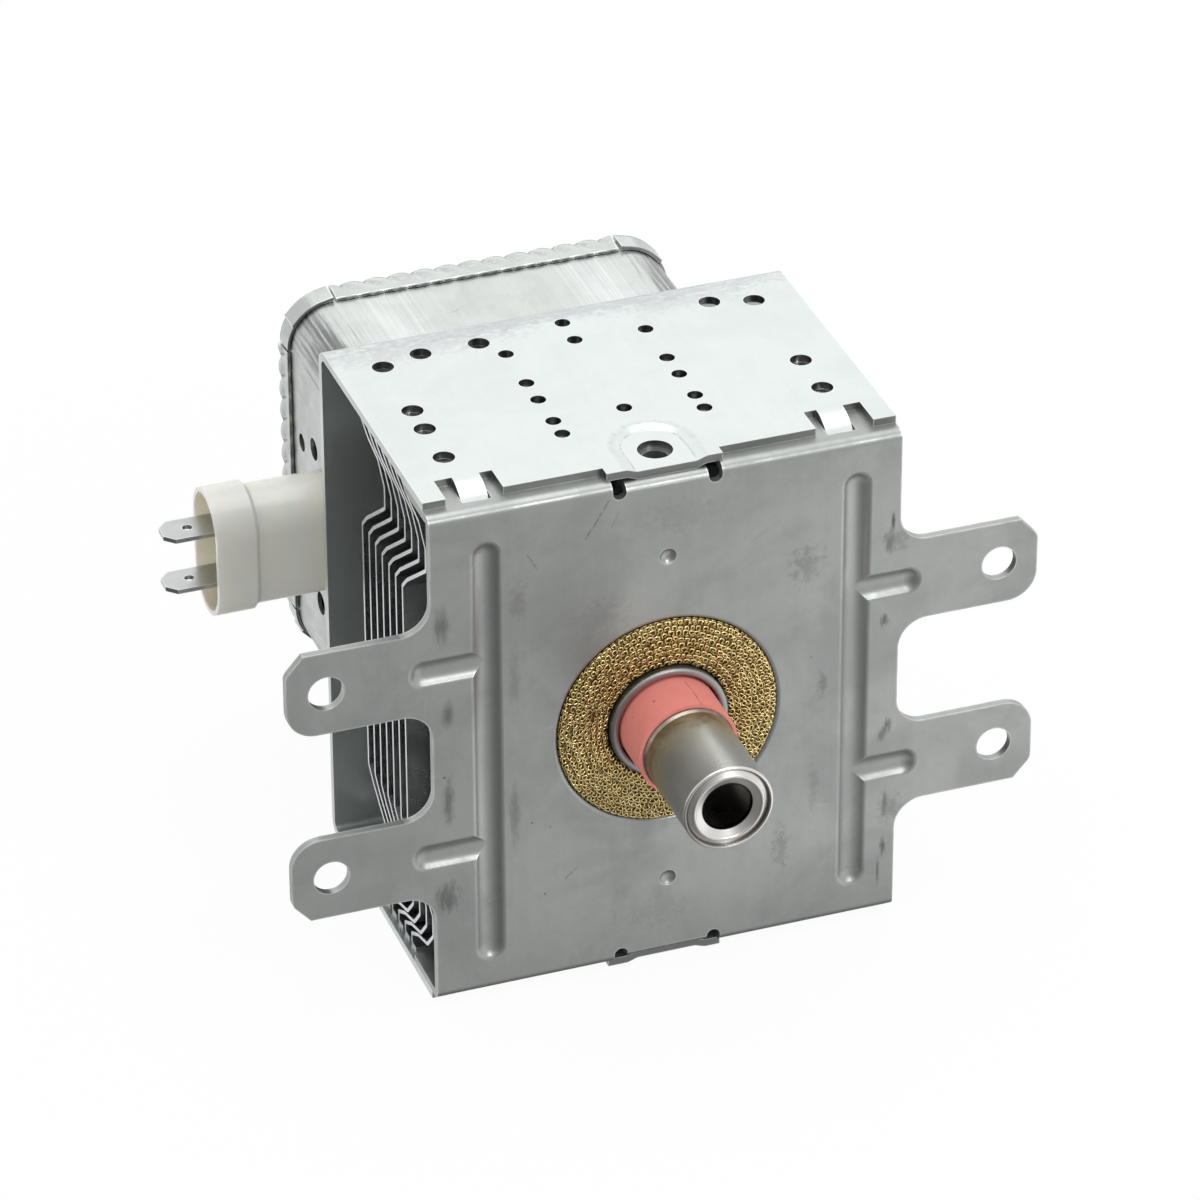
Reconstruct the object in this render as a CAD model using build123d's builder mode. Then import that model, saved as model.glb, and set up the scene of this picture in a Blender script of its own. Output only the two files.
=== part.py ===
"""Magnetron with a forced-air anode, a bolt-on flange and a shielded filter box.

The origin lies on the antenna axis, on the outer face of the mounting plate.
-Y points out along the antenna, +Y to the filter box, +Z up, +X to the right
as seen from the antenna. All sizes are in millimetres.
"""

from build123d import *
from math import cos, radians, sin
import os

os.makedirs("parts", exist_ok=True)

# Flange and mounting plate
sheet = 1.4
plate_half_width = 40.0
plate_bend_radius = 1.6
flange_run = 12.0
bolt_spacing_x = 115.0
bolt_spacing_z = 35.0
bolt_hole_dia = 6.0
ear_half_height = 7.5
ear_tip_margin = 6.7
ear_root_radius = 5.0
ear_inner_radius = 5.0
ear_cut_across = 3.0
ear_cut_down = 2.6
ear_cut_side = 0.7
ear_cut_round = 1.6
rib_x = 31.5
rib_shift_x = 0.8
rib_end_margin = 6.3
rib_width = 4.5
rib_depth = 1.1
rib_lip = 1.0
ear_rib_end_x = 43.5
dimple_margin = 15.0
dimple_dia = 2.9
dimple_depth = 0.7
relief_x = 8.1
relief_width = 2.3
relief_margin = 4.2
cut_over = 1.0

# Gasket recess
recess_dia = 37.6
recess_depth = 2.2
recess_lip = 0.8
collar_hole_dia = 20.6

# Yoke
yoke_height = 94.4
yoke_rear = 56.2
yoke_bend_radius = 2.8
main_edge_y = 3.45
corner_tab_y = 2.95
lug_edge_y = 1.55
notch_y = 8.95
lug_half_width = 9.8
tongue_inner_x = 28.6
tongue_outer_x = 33.1
notch_inner_x = 26.4
notch_outer_x = 36.1
tongue_radius = 6.5
tongue_turn = 60.0
slot_clearance = 0.15
seat_x = 0.4
seat_y = 8.1
seat_half_width = 5.05
seat_slope = 1.7
seat_drop = 0.6
seat_lip = 2.0
screw_y = 7.1
screw_clear_dia = 5.8
screw_pilot_dia = 4.2
edge_blank_y = -3.0
stem_hole_dia = 35.0

# Vent holes in the yoke's plates, in the quarter that they mirror from
small_vent_dia = 2.6
large_vent_dia = 3.6
small_vent_x = 12.1
small_vent_rows = (43.3, 33.2, 27.5, 20.2, 15.9)
centre_vent_rows = (49.9, 43.9, 20.3)
large_vent_x = 32.2
large_vent_rows = (46.2, 24.9, 15.4)
extra_large_vents = ((-25.1, 48.2), (25.1, 48.2), (-15.1, 48.2), (-32.2, 31.1))

# Magnets and pole pieces
magnet_dia = 51.0
magnet_bore = 21.5
magnet_length = 10.5
magnet_chamfer = 0.6
seal_flange = 0.6
seal_flange_dia = 39.0
pole_disc = 1.6
pole_dia = 39.4
pole_cone_base_dia = 24.0
pole_cone_tip_dia = 12.4
pole_cone_rise = 4.5
pole_bore = 9.4

# Cooling fins
fin_count = 7
fin_pitch = 3.43
first_fin_y = 17.9
fin_sheet = 0.6
fin_half_width = 38.8
fin_bend_radius = 0.65
fin_flat_margin = 2.9
fin_jog_y = 2.6
fin_jog_run = 2.6
fin_wing_y = 12.3
fin_wing_start_inset = 12.6
fin_wing_end_inset = 8.9
fin_knee_y = 9.3
fin_knee_inset = 5.6
fin_return_y = 4.5
fin_return_inset = 4.3
fin_fold_y = 0.9
fin_fold_inset = 2.4
fin_lip = 2.4
fin_collar_length = 2.3
fin_collar_wall = 0.5

# Anode
anode_dia = 40.0
anode_wall = 2.4
vane_count = 10
vane_thickness = 1.8
vane_height = 9.0
vane_tip_radius = 4.6
strap_inner_radius = 5.4
strap_width = 0.6
strap_gap = 0.6
strap_height = 1.1
strap_clearance = 0.5

# Cathode
filament_radius = 1.95
filament_wire = 0.5
filament_pitch = 1.5
hat_dia = 7.6
hat_thickness = 0.8
lead_dia = 1.4
side_lead_offset = 2.6
hat_clearance = 0.4
hat_gap = 1.0
lead_spread_front_y = 50.0
lead_spread_rear_y = 62.0
lead_bend_radius = 4.0

# Output side
seal_tube_dia = 20.2
seal_tube_wall = 1.35
seal_lip_round = 0.55
seal_lip_y = -1.3
seal_ledge_y = 3.0
ceramic_dia = 16.9
ceramic_bore = 9.2
ceramic_front_y = -9.7
antenna_rod_dia = 1.8
antenna_takeoff_radius = 8.6
antenna_bend_radius = 3.5
antenna_bend_rear_y = 17.0
antenna_bend_front_y = 9.0
antenna_pass_dia = 3.8
end_ring_thickness = 0.8
pinch_length = 3.0
seal_ledge_bore = 12.0
exhaust_dia = 7.0
exhaust_wall = 0.8
exhaust_end_y = -19.5
cap_dia = 15.25
cap_wall = 0.5
cap_flare_dia = 15.75
cap_rim_y = -27.9
cap_groove_dia = 13.9
cap_ridge_dia = 11.6
cap_hole_dia = 8.3
cap_rim_roll = 0.4
cap_groove_depth = 0.55
cap_ridge_round = 0.35
cap_funnel_depth = 0.8
gasket_dia = 37.0
gasket_bore = 20.4
gasket_edge_y = -0.35
gasket_crown = 0.5

# Cathode stem
stem_tube_rear_y = 60.0
stem_ledge_y = 58.0
stem_floor = 3.0
stem_pin_dia = 2.0
stem_ceramic_dia = 17.0
stem_ceramic_wall = 2.0
stem_ceramic_end_y = 71.0
stem_terminal_z = 3.6
stem_terminal_dia = 4.4
stem_terminal_height = 3.0
stem_pin_reach = 5.0

# Filter box
box_half = 33.7
box_corner_radius = 7.8
box_sheet = 0.7
box_hole_dia = 30.0
box_rear_y = 96.7
cover_sheet = 0.6
crimp_length = 3.9
scallop_count = 12
scallop_half_run = 25.5
scallop_rise = 0.35
scallop_setback = 1.2
# Vents in its left wall: distance from the box's rear, height and diameter
wall_vents = ((8.7, 10.4, 3.2), (15.5, 12.8, 4.0), (17.0, -16.9, 4.2))

# Feedthrough connector, pointing to -X
port_shift = -0.45
shroud_half_width = 6.2
shroud_half_height = 10.9
shroud_rim_growth = 0.8
shroud_wall = 1.3
shroud_mouth_reach = 21.1
shroud_rim_length = 7.6
shroud_chamfer = 0.7
shroud_lip = 0.9
shroud_floor = 4.0
shroud_spigot = 2.0
spigot_half_width = 4.9
spigot_half_height = 9.6
tab_width = 6.35
tab_thickness = 0.8
tab_spacing = 9.9
tab_reach = 28.8
tab_chamfer = 1.7
tab_hole_dia = 1.7
tab_hole_inset = 4.6
tab_inside_run = 10.0
capacitor_half_width = 7.2
capacitor_half_height = 13.0
capacitor_length = 6.4

# Filter chokes
choke_core_dia = 5.0
choke_core_length = 22.0
choke_wire_dia = 1.4
choke_bare_dia = 1.25
choke_clearance = 0.15
choke_turns = 8
choke_pitch = 2.4
choke_z = 12.0
choke_offset = 8.0
choke_centre_x = -6.0
choke_lead_run = 2.0
choke_lead_bend = 1.2

# Places that follow from the sizes above
half_height = yoke_height / 2
inner_height = half_height - sheet
yoke_wall_y = yoke_rear - sheet
rib_half_length = inner_height - rib_end_margin
dimple_z = inner_height - dimple_margin
relief_end_z = half_height - relief_margin
rib_round = (rib_width**2 / 4 + rib_depth**2) / (2 * rib_depth)
front_magnet_y = recess_depth + sheet
front_magnet_rear_y = front_magnet_y + magnet_length
rear_magnet_y = yoke_wall_y - magnet_length
front_pole_y = front_magnet_rear_y + seal_flange
rear_pole_y = rear_magnet_y - seal_flange
anode_front_y = front_pole_y + pole_disc
anode_rear_y = rear_pole_y - pole_disc
anode_mid_y = (anode_front_y + anode_rear_y) / 2
anode_bore_radius = anode_dia / 2 - anode_wall
vane_front_y = anode_mid_y - vane_height / 2
vane_rear_y = anode_mid_y + vane_height / 2
seal_tube_radius = seal_tube_dia / 2
seal_bore_radius = seal_tube_radius - seal_tube_wall
strap_outer_radius = strap_inner_radius + strap_width + strap_gap
notch_depth = strap_height + strap_clearance
output_hat_y = vane_front_y - hat_gap - hat_thickness
cathode_hat_y = vane_rear_y + hat_gap
fin_flat_half = anode_dia / 2 + fin_collar_wall + fin_flat_margin
box_front_y = yoke_rear
cover_half = box_half + cover_sheet
crimp_front_y = box_rear_y - crimp_length
scallop_front_y = crimp_front_y + scallop_setback
port_y = (box_front_y + box_rear_y) / 2 + port_shift
choke_y = port_y + choke_offset
tongue_mid_x = (tongue_inner_x + tongue_outer_x) / 2
tongue_width = tongue_outer_x - tongue_inner_x
tongue_slot_y = notch_y - tongue_radius * sin(radians(tongue_turn))
port_x = -box_half


# The front view's plane, looking along +Y, with local x along X and local y along -Z
REARWARD = Plane(origin=(0, 0, 0), x_dir=(1, 0, 0), z_dir=(0, 1, 0))


def half_section(points):
    """Closed sketch of (radius, y) points, ready to be turned about the antenna axis."""
    with BuildSketch(Plane.XY) as section:
        with BuildLine():
            Polyline(*points, close=True)
        make_face()
    return section.sketch


# Mounting plate: one drawn and bent sheet with four ears, ribs and a gasket recess
def ear_outline(side_x, side_z):
    """Ear profile in the front view, for the quarter given by the two signs."""
    ear_z = bolt_spacing_z / 2
    inner_z = ear_z - ear_half_height
    outer_z = ear_z + ear_half_height
    tip_x = bolt_spacing_x / 2 + ear_tip_margin
    root_x = plate_half_width - cut_over
    arc_drop = ear_inner_radius * (1 - sin(radians(45)))
    points = {
        "root_in": (root_x, inner_z),
        "in_end": (tip_x - ear_inner_radius, inner_z),
        "in_mid": (tip_x - arc_drop, inner_z + arc_drop),
        "tip_in": (tip_x, inner_z + ear_inner_radius),
        "tip_out": (tip_x, outer_z - ear_cut_down - ear_cut_round),
        "cut_low": (tip_x - ear_cut_side, outer_z - ear_cut_down),
        "cut_high": (tip_x - ear_cut_across, outer_z),
        "root_out": (root_x, outer_z),
    }
    placed = {key: (side_x * x, side_z * z) for key, (x, z) in points.items()}
    Line(placed["root_in"], placed["in_end"])
    ThreePointArc(placed["in_end"], placed["in_mid"], placed["tip_in"])
    Line(placed["tip_in"], placed["tip_out"])
    TangentArc(placed["tip_out"], placed["cut_low"], tangent=(0, side_z))
    Line(placed["cut_low"], placed["cut_high"])
    Line(placed["cut_high"], placed["root_out"])
    Line(placed["root_out"], placed["root_in"])


def press_tools(growth):
    """Rods and balls that press the ribs and the dimples, grown by a thickness."""
    rib_run = rib_half_length - rib_width / 2
    dimple_round = (dimple_dia**2 / 4 + dimple_depth**2) / (2 * dimple_depth)
    with BuildPart() as tools:
        for side_x in (1, -1):
            centre_x = rib_shift_x + side_x * rib_x
            ear_end_x = side_x * (ear_rib_end_x - rib_width / 2)
            with Locations((centre_x, rib_depth - rib_round, 0)):
                Cylinder(rib_round + growth, 2 * rib_run)
            for side_z in (1, -1):
                with Locations((centre_x, rib_depth - rib_round, side_z * rib_run)):
                    Sphere(rib_round + growth)
                ear_z = side_z * bolt_spacing_z / 2
                ear_run = abs(ear_end_x - centre_x)
                with Locations(((centre_x + ear_end_x) / 2, rib_depth - rib_round, ear_z)):
                    Cylinder(rib_round + growth, ear_run, rotation=(0, 90, 0))
                with Locations((ear_end_x, rib_depth - rib_round, ear_z)):
                    Sphere(rib_round + growth)
        for side_z in (1, -1):
            with Locations((0, dimple_depth - dimple_round, side_z * dimple_z)):
                Sphere(dimple_round + growth)
    return tools.part


# What the presses raise on the plate's back
with BuildPart() as pressed_backs:
    add(press_tools(sheet))
    with BuildSketch(REARWARD.offset(sheet / 2)):
        Rectangle(2 * bolt_spacing_x, yoke_height)
    extrude(amount=2 * sheet, mode=Mode.INTERSECT)

with BuildPart() as mounting_plate:
    # The face and its two flanges are one strip bent round the top and bottom edges
    with BuildSketch(Plane.YZ):
        with BuildLine():
            FilletPolyline(
                (flange_run, inner_height),
                (0, inner_height),
                (0, -inner_height),
                (flange_run, -inner_height),
                radius=plate_bend_radius,
            )
            offset(amount=sheet, side=Side.LEFT)
        make_face()
    extrude(amount=plate_half_width, both=True)

    # Ears stand out of the face on both sides, with a fillet at each root
    with BuildSketch(Plane.XZ):
        for side_x in (1, -1):
            for side_z in (1, -1):
                with BuildLine():
                    ear_outline(side_x, side_z)
                make_face()
    extrude(amount=-sheet)
    ear_roots = (
        mounting_plate.edges()
        .filter_by(Axis.Y)
        .filter_by(lambda e: abs(abs(e.center().X) - plate_half_width) < 0.01)
        .filter_by(lambda e: abs(e.center().Z) < bolt_spacing_z)
    )
    fillet(ear_roots, radius=ear_root_radius)

    # Two relief slots free a centre tongue, which is bent lower to carry the yoke's seat
    for side in (1, -1):
        relief_z = relief_end_z + relief_width / 2
        with BuildSketch(REARWARD.offset(-cut_over)):
            with Locations((0, -side * (relief_z + flange_run / 2))):
                Rectangle(2 * relief_x + relief_width, flange_run)
            with Locations((relief_x, -side * relief_z), (-relief_x, -side * relief_z)):
                Circle(relief_width / 2)
        extrude(amount=flange_run + 2 * cut_over, mode=Mode.SUBTRACT)
        tongue_top = side * (inner_height - seat_drop)
        with BuildSketch(Plane.YZ):
            with BuildLine():
                FilletPolyline(
                    (flange_run, tongue_top),
                    (0, tongue_top),
                    (0, side * (relief_end_z - 2 * relief_width)),
                    radius=plate_bend_radius,
                )
                offset(amount=sheet, side=Side.LEFT if side > 0 else Side.RIGHT)
            make_face()
        extrude(amount=relief_x - relief_width / 2, both=True)

    # Gasket recess: a round dish with a soft lip and the collar's hole in its floor
    with BuildSketch(REARWARD.offset(sheet)):
        Circle(recess_dia / 2 + sheet)
    extrude(amount=recess_depth)
    with BuildSketch(REARWARD):
        Circle(recess_dia / 2)
    extrude(amount=recess_depth, mode=Mode.SUBTRACT)
    lip_edge = (
        mounting_plate.edges()
        .filter_by(GeomType.CIRCLE)
        .filter_by(lambda e: abs(e.radius - recess_dia / 2) < 0.01 and e.center().Y < sheet / 2)
    )
    fillet(lip_edge, radius=recess_lip)
    with BuildSketch(REARWARD):
        Circle(collar_hole_dia / 2)
    extrude(amount=recess_depth + 2 * sheet, mode=Mode.SUBTRACT)

    # Ribs and dimples: the backs are raised first, then the front is sunk
    add(pressed_backs.part)
    add(press_tools(0), mode=Mode.SUBTRACT)
    rib_lips = (
        mounting_plate.faces()
        .filter_by(lambda f: f.geom_type in (GeomType.CYLINDER, GeomType.SPHERE))
        .filter_by(lambda f: abs((f.radius or 0) - rib_round) < 0.001)
        .edges()
        .filter_by(lambda e: e.bounding_box().max.Y < 0.001)
    )
    fillet(rib_lips, radius=rib_lip)

    # Bolt holes in the ears, the pilot hole in each tongue and slots for the yoke's tabs
    with BuildSketch(REARWARD.offset(-cut_over)):
        with GridLocations(bolt_spacing_x, bolt_spacing_z, 2, 2):
            Circle(bolt_hole_dia / 2)
    extrude(amount=sheet + 2 * cut_over, mode=Mode.SUBTRACT)
    with BuildSketch(Plane.XY.offset(-half_height)):
        with Locations((seat_x, screw_y)):
            Circle(screw_pilot_dia / 2)
        for side in (1, -1):
            with Locations((side * tongue_mid_x, (tongue_slot_y + notch_y) / 2)):
                Rectangle(
                    tongue_width + 2 * slot_clearance,
                    notch_y - tongue_slot_y + 2 * slot_clearance,
                )
    extrude(amount=yoke_height, mode=Mode.SUBTRACT)
mounting_plate.part.label = "mounting_plate"
export_step(mounting_plate.part, "parts/mounting_plate.step")


# Yoke: one sheet bent to a U, with its front edges notched round tongues and a seat
def tongue_outline(side):
    """Section of a yoke tongue, an arc that dips through the plate's flange."""
    turn = radians(tongue_turn)
    centre_z = half_height - tongue_radius

    def on_arc(radius, angle):
        return (notch_y - radius * sin(angle), side * (centre_z + radius * cos(angle)))

    inner_radius = tongue_radius - sheet
    ThreePointArc(
        on_arc(tongue_radius, 0), on_arc(tongue_radius, turn / 2), on_arc(tongue_radius, turn)
    )
    Line(on_arc(tongue_radius, turn), on_arc(inner_radius, turn))
    ThreePointArc(
        on_arc(inner_radius, turn), on_arc(inner_radius, turn / 2), on_arc(inner_radius, 0)
    )
    Line(on_arc(inner_radius, 0), on_arc(tongue_radius, 0))


def seat_outline(margin):
    """Plan of the pressed seat: a half round on a straight run to the front edge."""
    half = seat_half_width + margin
    with Locations((seat_x, seat_y)):
        Circle(half)
    with Locations((seat_x, (seat_y + edge_blank_y) / 2)):
        Rectangle(2 * half, seat_y - edge_blank_y)


with BuildPart() as yoke_frame:
    with BuildSketch(Plane.YZ):
        with BuildLine():
            FilletPolyline(
                (0, half_height),
                (yoke_rear, half_height),
                (yoke_rear, -half_height),
                (0, -half_height),
                radius=yoke_bend_radius,
            )
            offset(amount=sheet, side=Side.RIGHT)
        make_face()
    extrude(amount=plate_half_width, both=True)

    # Seats: the sheet is pressed towards the middle round each screw hole
    for side in (1, -1):
        with BuildSketch(Plane.XY.offset(side * inner_height)):
            seat_outline(seat_slope)
        with BuildSketch(Plane.XY.offset(side * (inner_height - seat_drop))):
            seat_outline(0)
        loft()
        with BuildSketch(Plane.XY.offset(side * half_height)):
            seat_outline(seat_slope)
        with BuildSketch(Plane.XY.offset(side * (half_height - seat_drop))):
            seat_outline(0)
        loft(mode=Mode.SUBTRACT)

    # The front edges are blanked to lugs, notches and corner tabs
    with BuildSketch(Plane.XY.offset(-half_height - cut_over)):
        for side in (1, -1):
            with BuildLine():
                Polyline(
                    (0, edge_blank_y),
                    (0, lug_edge_y),
                    (side * lug_half_width, lug_edge_y),
                    (side * lug_half_width, main_edge_y),
                    (side * notch_inner_x, main_edge_y),
                    (side * notch_inner_x, notch_y),
                    (side * notch_outer_x, notch_y),
                    (side * notch_outer_x, corner_tab_y),
                    (side * (plate_half_width + cut_over), corner_tab_y),
                    (side * (plate_half_width + cut_over), edge_blank_y),
                    close=True,
                )
            make_face()
    extrude(amount=yoke_height + 2 * cut_over, mode=Mode.SUBTRACT)
    seat_reach = seat_half_width + seat_slope + 0.001
    seat_rims = (
        yoke_frame.edges()
        .filter_by(lambda e: abs(abs((e @ 0.5).Z) - half_height) < 0.001)
        .filter_by(lambda e: e.bounding_box().max.X - seat_x < seat_reach)
        .filter_by(lambda e: seat_x - e.bounding_box().min.X < seat_reach)
    )
    fillet(seat_rims, radius=seat_lip)

    # A tongue curls down out of each pair of notches
    for side in (1, -1):
        for side_x in (1, -1):
            with BuildSketch(Plane.YZ.offset(side_x * tongue_mid_x)):
                with BuildLine():
                    tongue_outline(side)
                make_face()
            extrude(amount=tongue_width / 2, both=True)

    # Screw holes and vents go through both plates, the stem's hole through the wall
    with BuildSketch(Plane.XY.offset(-half_height - cut_over)):
        with Locations((seat_x, screw_y)):
            Circle(screw_clear_dia / 2)
        with Locations(*((0, y) for y in centre_vent_rows)):
            Circle(small_vent_dia / 2)
        with Locations(*((s * small_vent_x, y) for s in (1, -1) for y in small_vent_rows)):
            Circle(small_vent_dia / 2)
        with Locations(*((s * large_vent_x, y) for s in (1, -1) for y in large_vent_rows)):
            Circle(large_vent_dia / 2)
        with Locations(*extra_large_vents):
            Circle(large_vent_dia / 2)
    extrude(amount=yoke_height + 2 * cut_over, mode=Mode.SUBTRACT)
    with BuildSketch(REARWARD.offset(yoke_wall_y - cut_over)):
        Circle(stem_hole_dia / 2)
    extrude(amount=sheet + 2 * cut_over, mode=Mode.SUBTRACT)
yoke_frame.part.label = "yoke_frame"
export_step(yoke_frame.part, "parts/yoke_frame.step")


# Gasket: a knitted metal ring that fills the recess and stands a little proud
with BuildPart() as rf_gasket:
    with BuildSketch(Plane.XY):
        with BuildLine():
            outer = gasket_dia / 2
            inner = gasket_bore / 2
            Polyline(
                (inner, gasket_edge_y),
                (inner, recess_depth),
                (outer, recess_depth),
                (outer, gasket_edge_y),
            )
            ThreePointArc(
                (outer, gasket_edge_y),
                ((outer + inner) / 2, gasket_edge_y - gasket_crown),
                (inner, gasket_edge_y),
            )
        make_face()
    revolve(axis=Axis.Y)
rf_gasket.part.label = "rf_gasket"
export_step(rf_gasket.part, "parts/rf_gasket.step")


# Ring magnets, one behind the mounting plate and one against the yoke's wall
with BuildPart() as front_magnet:
    with BuildSketch(REARWARD.offset(front_magnet_y)):
        Circle(magnet_dia / 2)
        Circle(magnet_bore / 2, mode=Mode.SUBTRACT)
    extrude(amount=magnet_length)
    chamfer(front_magnet.edges().filter_by(GeomType.CIRCLE), length=magnet_chamfer)
front_magnet.part.label = "front_magnet"
export_step(front_magnet.part, "parts/front_magnet.step")

with BuildPart() as rear_magnet:
    with BuildSketch(REARWARD.offset(rear_magnet_y)):
        Circle(magnet_dia / 2)
        Circle(magnet_bore / 2, mode=Mode.SUBTRACT)
    extrude(amount=magnet_length)
    chamfer(rear_magnet.edges().filter_by(GeomType.CIRCLE), length=magnet_chamfer)
rear_magnet.part.label = "rear_magnet"
export_step(rear_magnet.part, "parts/rear_magnet.step")


# Cooling fins: identical folded sheets pressed on the anode by drawn collars
def fin_points(y):
    """Bend points of a fin's section, from the lower lip's end to the upper one's."""
    lip_z = inner_height
    upper = [
        (y, fin_flat_half),
        (y - fin_jog_y, fin_flat_half + fin_jog_run),
        (y - fin_wing_y, lip_z - fin_wing_start_inset),
        (y - fin_wing_y, lip_z - fin_wing_end_inset),
        (y - fin_knee_y, lip_z - fin_knee_inset),
        (y - fin_return_y, lip_z - fin_return_inset),
        (y - fin_fold_y, lip_z - fin_fold_inset),
        (y - fin_fold_y, lip_z),
        (y - fin_fold_y - fin_lip, lip_z),
    ]
    lower = [(py, -pz) for py, pz in reversed(upper)]
    return lower + upper


for index in range(fin_count):
    fin_y = first_fin_y + index * fin_pitch + fin_sheet / 2
    with BuildPart() as cooling_fin:
        with BuildSketch(Plane.YZ):
            with BuildLine():
                FilletPolyline(*fin_points(fin_y), radius=fin_bend_radius)
                offset(amount=fin_sheet, side=Side.LEFT)
            make_face()
        extrude(amount=fin_half_width, both=True)
        with BuildSketch(REARWARD.offset(fin_y)):
            Circle(anode_dia / 2 + fin_collar_wall)
        extrude(amount=fin_collar_length)
        with BuildSketch(REARWARD.offset(fin_y - fin_sheet)):
            Circle(anode_dia / 2)
        extrude(amount=fin_collar_length + fin_sheet, mode=Mode.SUBTRACT)
    fin_name = f"cooling_fin_{index + 1}"
    cooling_fin.part.label = fin_name
    export_step(cooling_fin.part, f"parts/{fin_name}.step")


# Anode: a plain copper tube that carries the vanes
with BuildPart() as anode_cylinder:
    with BuildSketch(REARWARD.offset(anode_front_y)):
        Circle(anode_dia / 2)
        Circle(anode_bore_radius, mode=Mode.SUBTRACT)
    extrude(amount=anode_rear_y - anode_front_y)
anode_cylinder.part.label = "anode_cylinder"
export_step(anode_cylinder.part, "parts/anode_cylinder.step")


# Vanes stand round the cathode; every second one carries the same strap
for index in range(vane_count):
    angle = 90 + index * 360 / vane_count
    grooves = [(strap_inner_radius, strap_height), (strap_outer_radius, notch_depth)]
    if index % 2:
        grooves = [(strap_inner_radius, notch_depth), (strap_outer_radius, strap_height)]
    with BuildPart() as anode_vane:
        with BuildSketch(REARWARD.offset(vane_front_y)):
            Circle(anode_bore_radius)
            with Locations(Location((0, 0), -angle)):
                Rectangle(
                    anode_bore_radius,
                    vane_thickness,
                    align=(Align.MIN, Align.CENTER),
                    mode=Mode.INTERSECT,
                )
            Circle(vane_tip_radius, mode=Mode.SUBTRACT)
        extrude(amount=vane_height)
        for end_y, inward in ((vane_front_y, 1), (vane_rear_y, -1)):
            for ring_radius, depth in grooves:
                with BuildSketch(REARWARD.offset(end_y)):
                    Circle(ring_radius + strap_width + strap_gap / 2)
                    Circle(ring_radius - strap_gap / 2, mode=Mode.SUBTRACT)
                extrude(amount=inward * depth, mode=Mode.SUBTRACT)
    vane_name = f"anode_vane_{index + 1}"
    anode_vane.part.label = vane_name
    export_step(anode_vane.part, f"parts/{vane_name}.step")

# Straps: an inner and an outer ring at each end, flush with the vanes
for end_name, strap_y in (("output", vane_front_y), ("cathode", vane_rear_y - strap_height)):
    for ring_name, ring_radius in (("inner", strap_inner_radius), ("outer", strap_outer_radius)):
        with BuildPart() as strap:
            with BuildSketch(REARWARD.offset(strap_y)):
                Circle(ring_radius + strap_width)
                Circle(ring_radius, mode=Mode.SUBTRACT)
            extrude(amount=strap_height)
        strap_name = f"{end_name}_{ring_name}_strap"
        strap.part.label = strap_name
        export_step(strap.part, f"parts/{strap_name}.step")


# Pole pieces close the anode's ends with cones that reach towards the vanes
def pole_outline(disc_y, inward):
    """Closed (radius, y) outline of a pole piece whose disc starts at disc_y."""
    bore = pole_bore / 2
    tip = pole_cone_tip_dia / 2
    base = pole_cone_base_dia / 2
    inner_y = disc_y + inward * pole_disc
    tip_y = inner_y + inward * pole_cone_rise
    return [
        (bore, tip_y - inward * pole_disc),
        (bore, tip_y),
        (tip, tip_y),
        (base, inner_y),
        (pole_dia / 2, inner_y),
        (pole_dia / 2, disc_y),
        (base - pole_disc / 2, disc_y),
    ]


with BuildPart() as output_pole_piece:
    revolve(half_section(pole_outline(front_pole_y, 1)), axis=Axis.Y)
    with BuildSketch(REARWARD.offset(front_pole_y)):
        with Locations((0, -antenna_takeoff_radius)):
            Circle(antenna_pass_dia / 2)
    extrude(amount=pole_disc + pole_cone_rise, mode=Mode.SUBTRACT)
output_pole_piece.part.label = "output_pole_piece"
export_step(output_pole_piece.part, "parts/output_pole_piece.step")

with BuildPart() as cathode_pole_piece:
    revolve(half_section(pole_outline(rear_pole_y, -1)), axis=Axis.Y)
cathode_pole_piece.part.label = "cathode_pole_piece"
export_step(cathode_pole_piece.part, "parts/cathode_pole_piece.step")


# Seal cups: thin drawn tubes with a flange on the pole piece and a ledge for the ceramic
def seal_cup_outline(flange_y, outward, end_y, ledge_y):
    """Closed (radius, y) outline of a seal cup, from its flange out to its open end."""
    flange_back = flange_y - outward * seal_flange
    ledge_back = ledge_y - outward * seal_tube_wall
    return [
        (seal_tube_radius, flange_y),
        (seal_tube_radius, end_y),
        (seal_bore_radius, end_y),
        (seal_bore_radius, ledge_y),
        (seal_ledge_bore / 2, ledge_y),
        (seal_ledge_bore / 2, ledge_back),
        (seal_bore_radius, ledge_back),
        (seal_bore_radius, flange_back),
        (seal_flange_dia / 2, flange_back),
        (seal_flange_dia / 2, flange_y),
    ]


with BuildPart() as output_seal_cup:
    cup_points = seal_cup_outline(front_magnet_rear_y, -1, seal_lip_y, seal_ledge_y)
    revolve(half_section(cup_points), axis=Axis.Y)
    lip_edges = output_seal_cup.edges().filter_by(GeomType.CIRCLE).group_by(Axis.Y)[0]
    fillet(lip_edges, radius=seal_lip_round)
output_seal_cup.part.label = "output_seal_cup"
export_step(output_seal_cup.part, "parts/output_seal_cup.step")

with BuildPart() as cathode_seal_cup:
    cup_points = seal_cup_outline(rear_magnet_y, 1, stem_tube_rear_y, stem_ledge_y)
    revolve(half_section(cup_points), axis=Axis.Y)
cathode_seal_cup.part.label = "cathode_seal_cup"
export_step(cathode_seal_cup.part, "parts/cathode_seal_cup.step")


# Output ceramic: a plain tube that stands on the ledge of its seal cup
with BuildPart() as output_ceramic:
    with BuildSketch(REARWARD.offset(ceramic_front_y)):
        Circle(ceramic_dia / 2)
        Circle(ceramic_bore / 2, mode=Mode.SUBTRACT)
    extrude(amount=seal_ledge_y - ceramic_front_y)
output_ceramic.part.label = "output_ceramic"
export_step(output_ceramic.part, "parts/output_ceramic.step")

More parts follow.
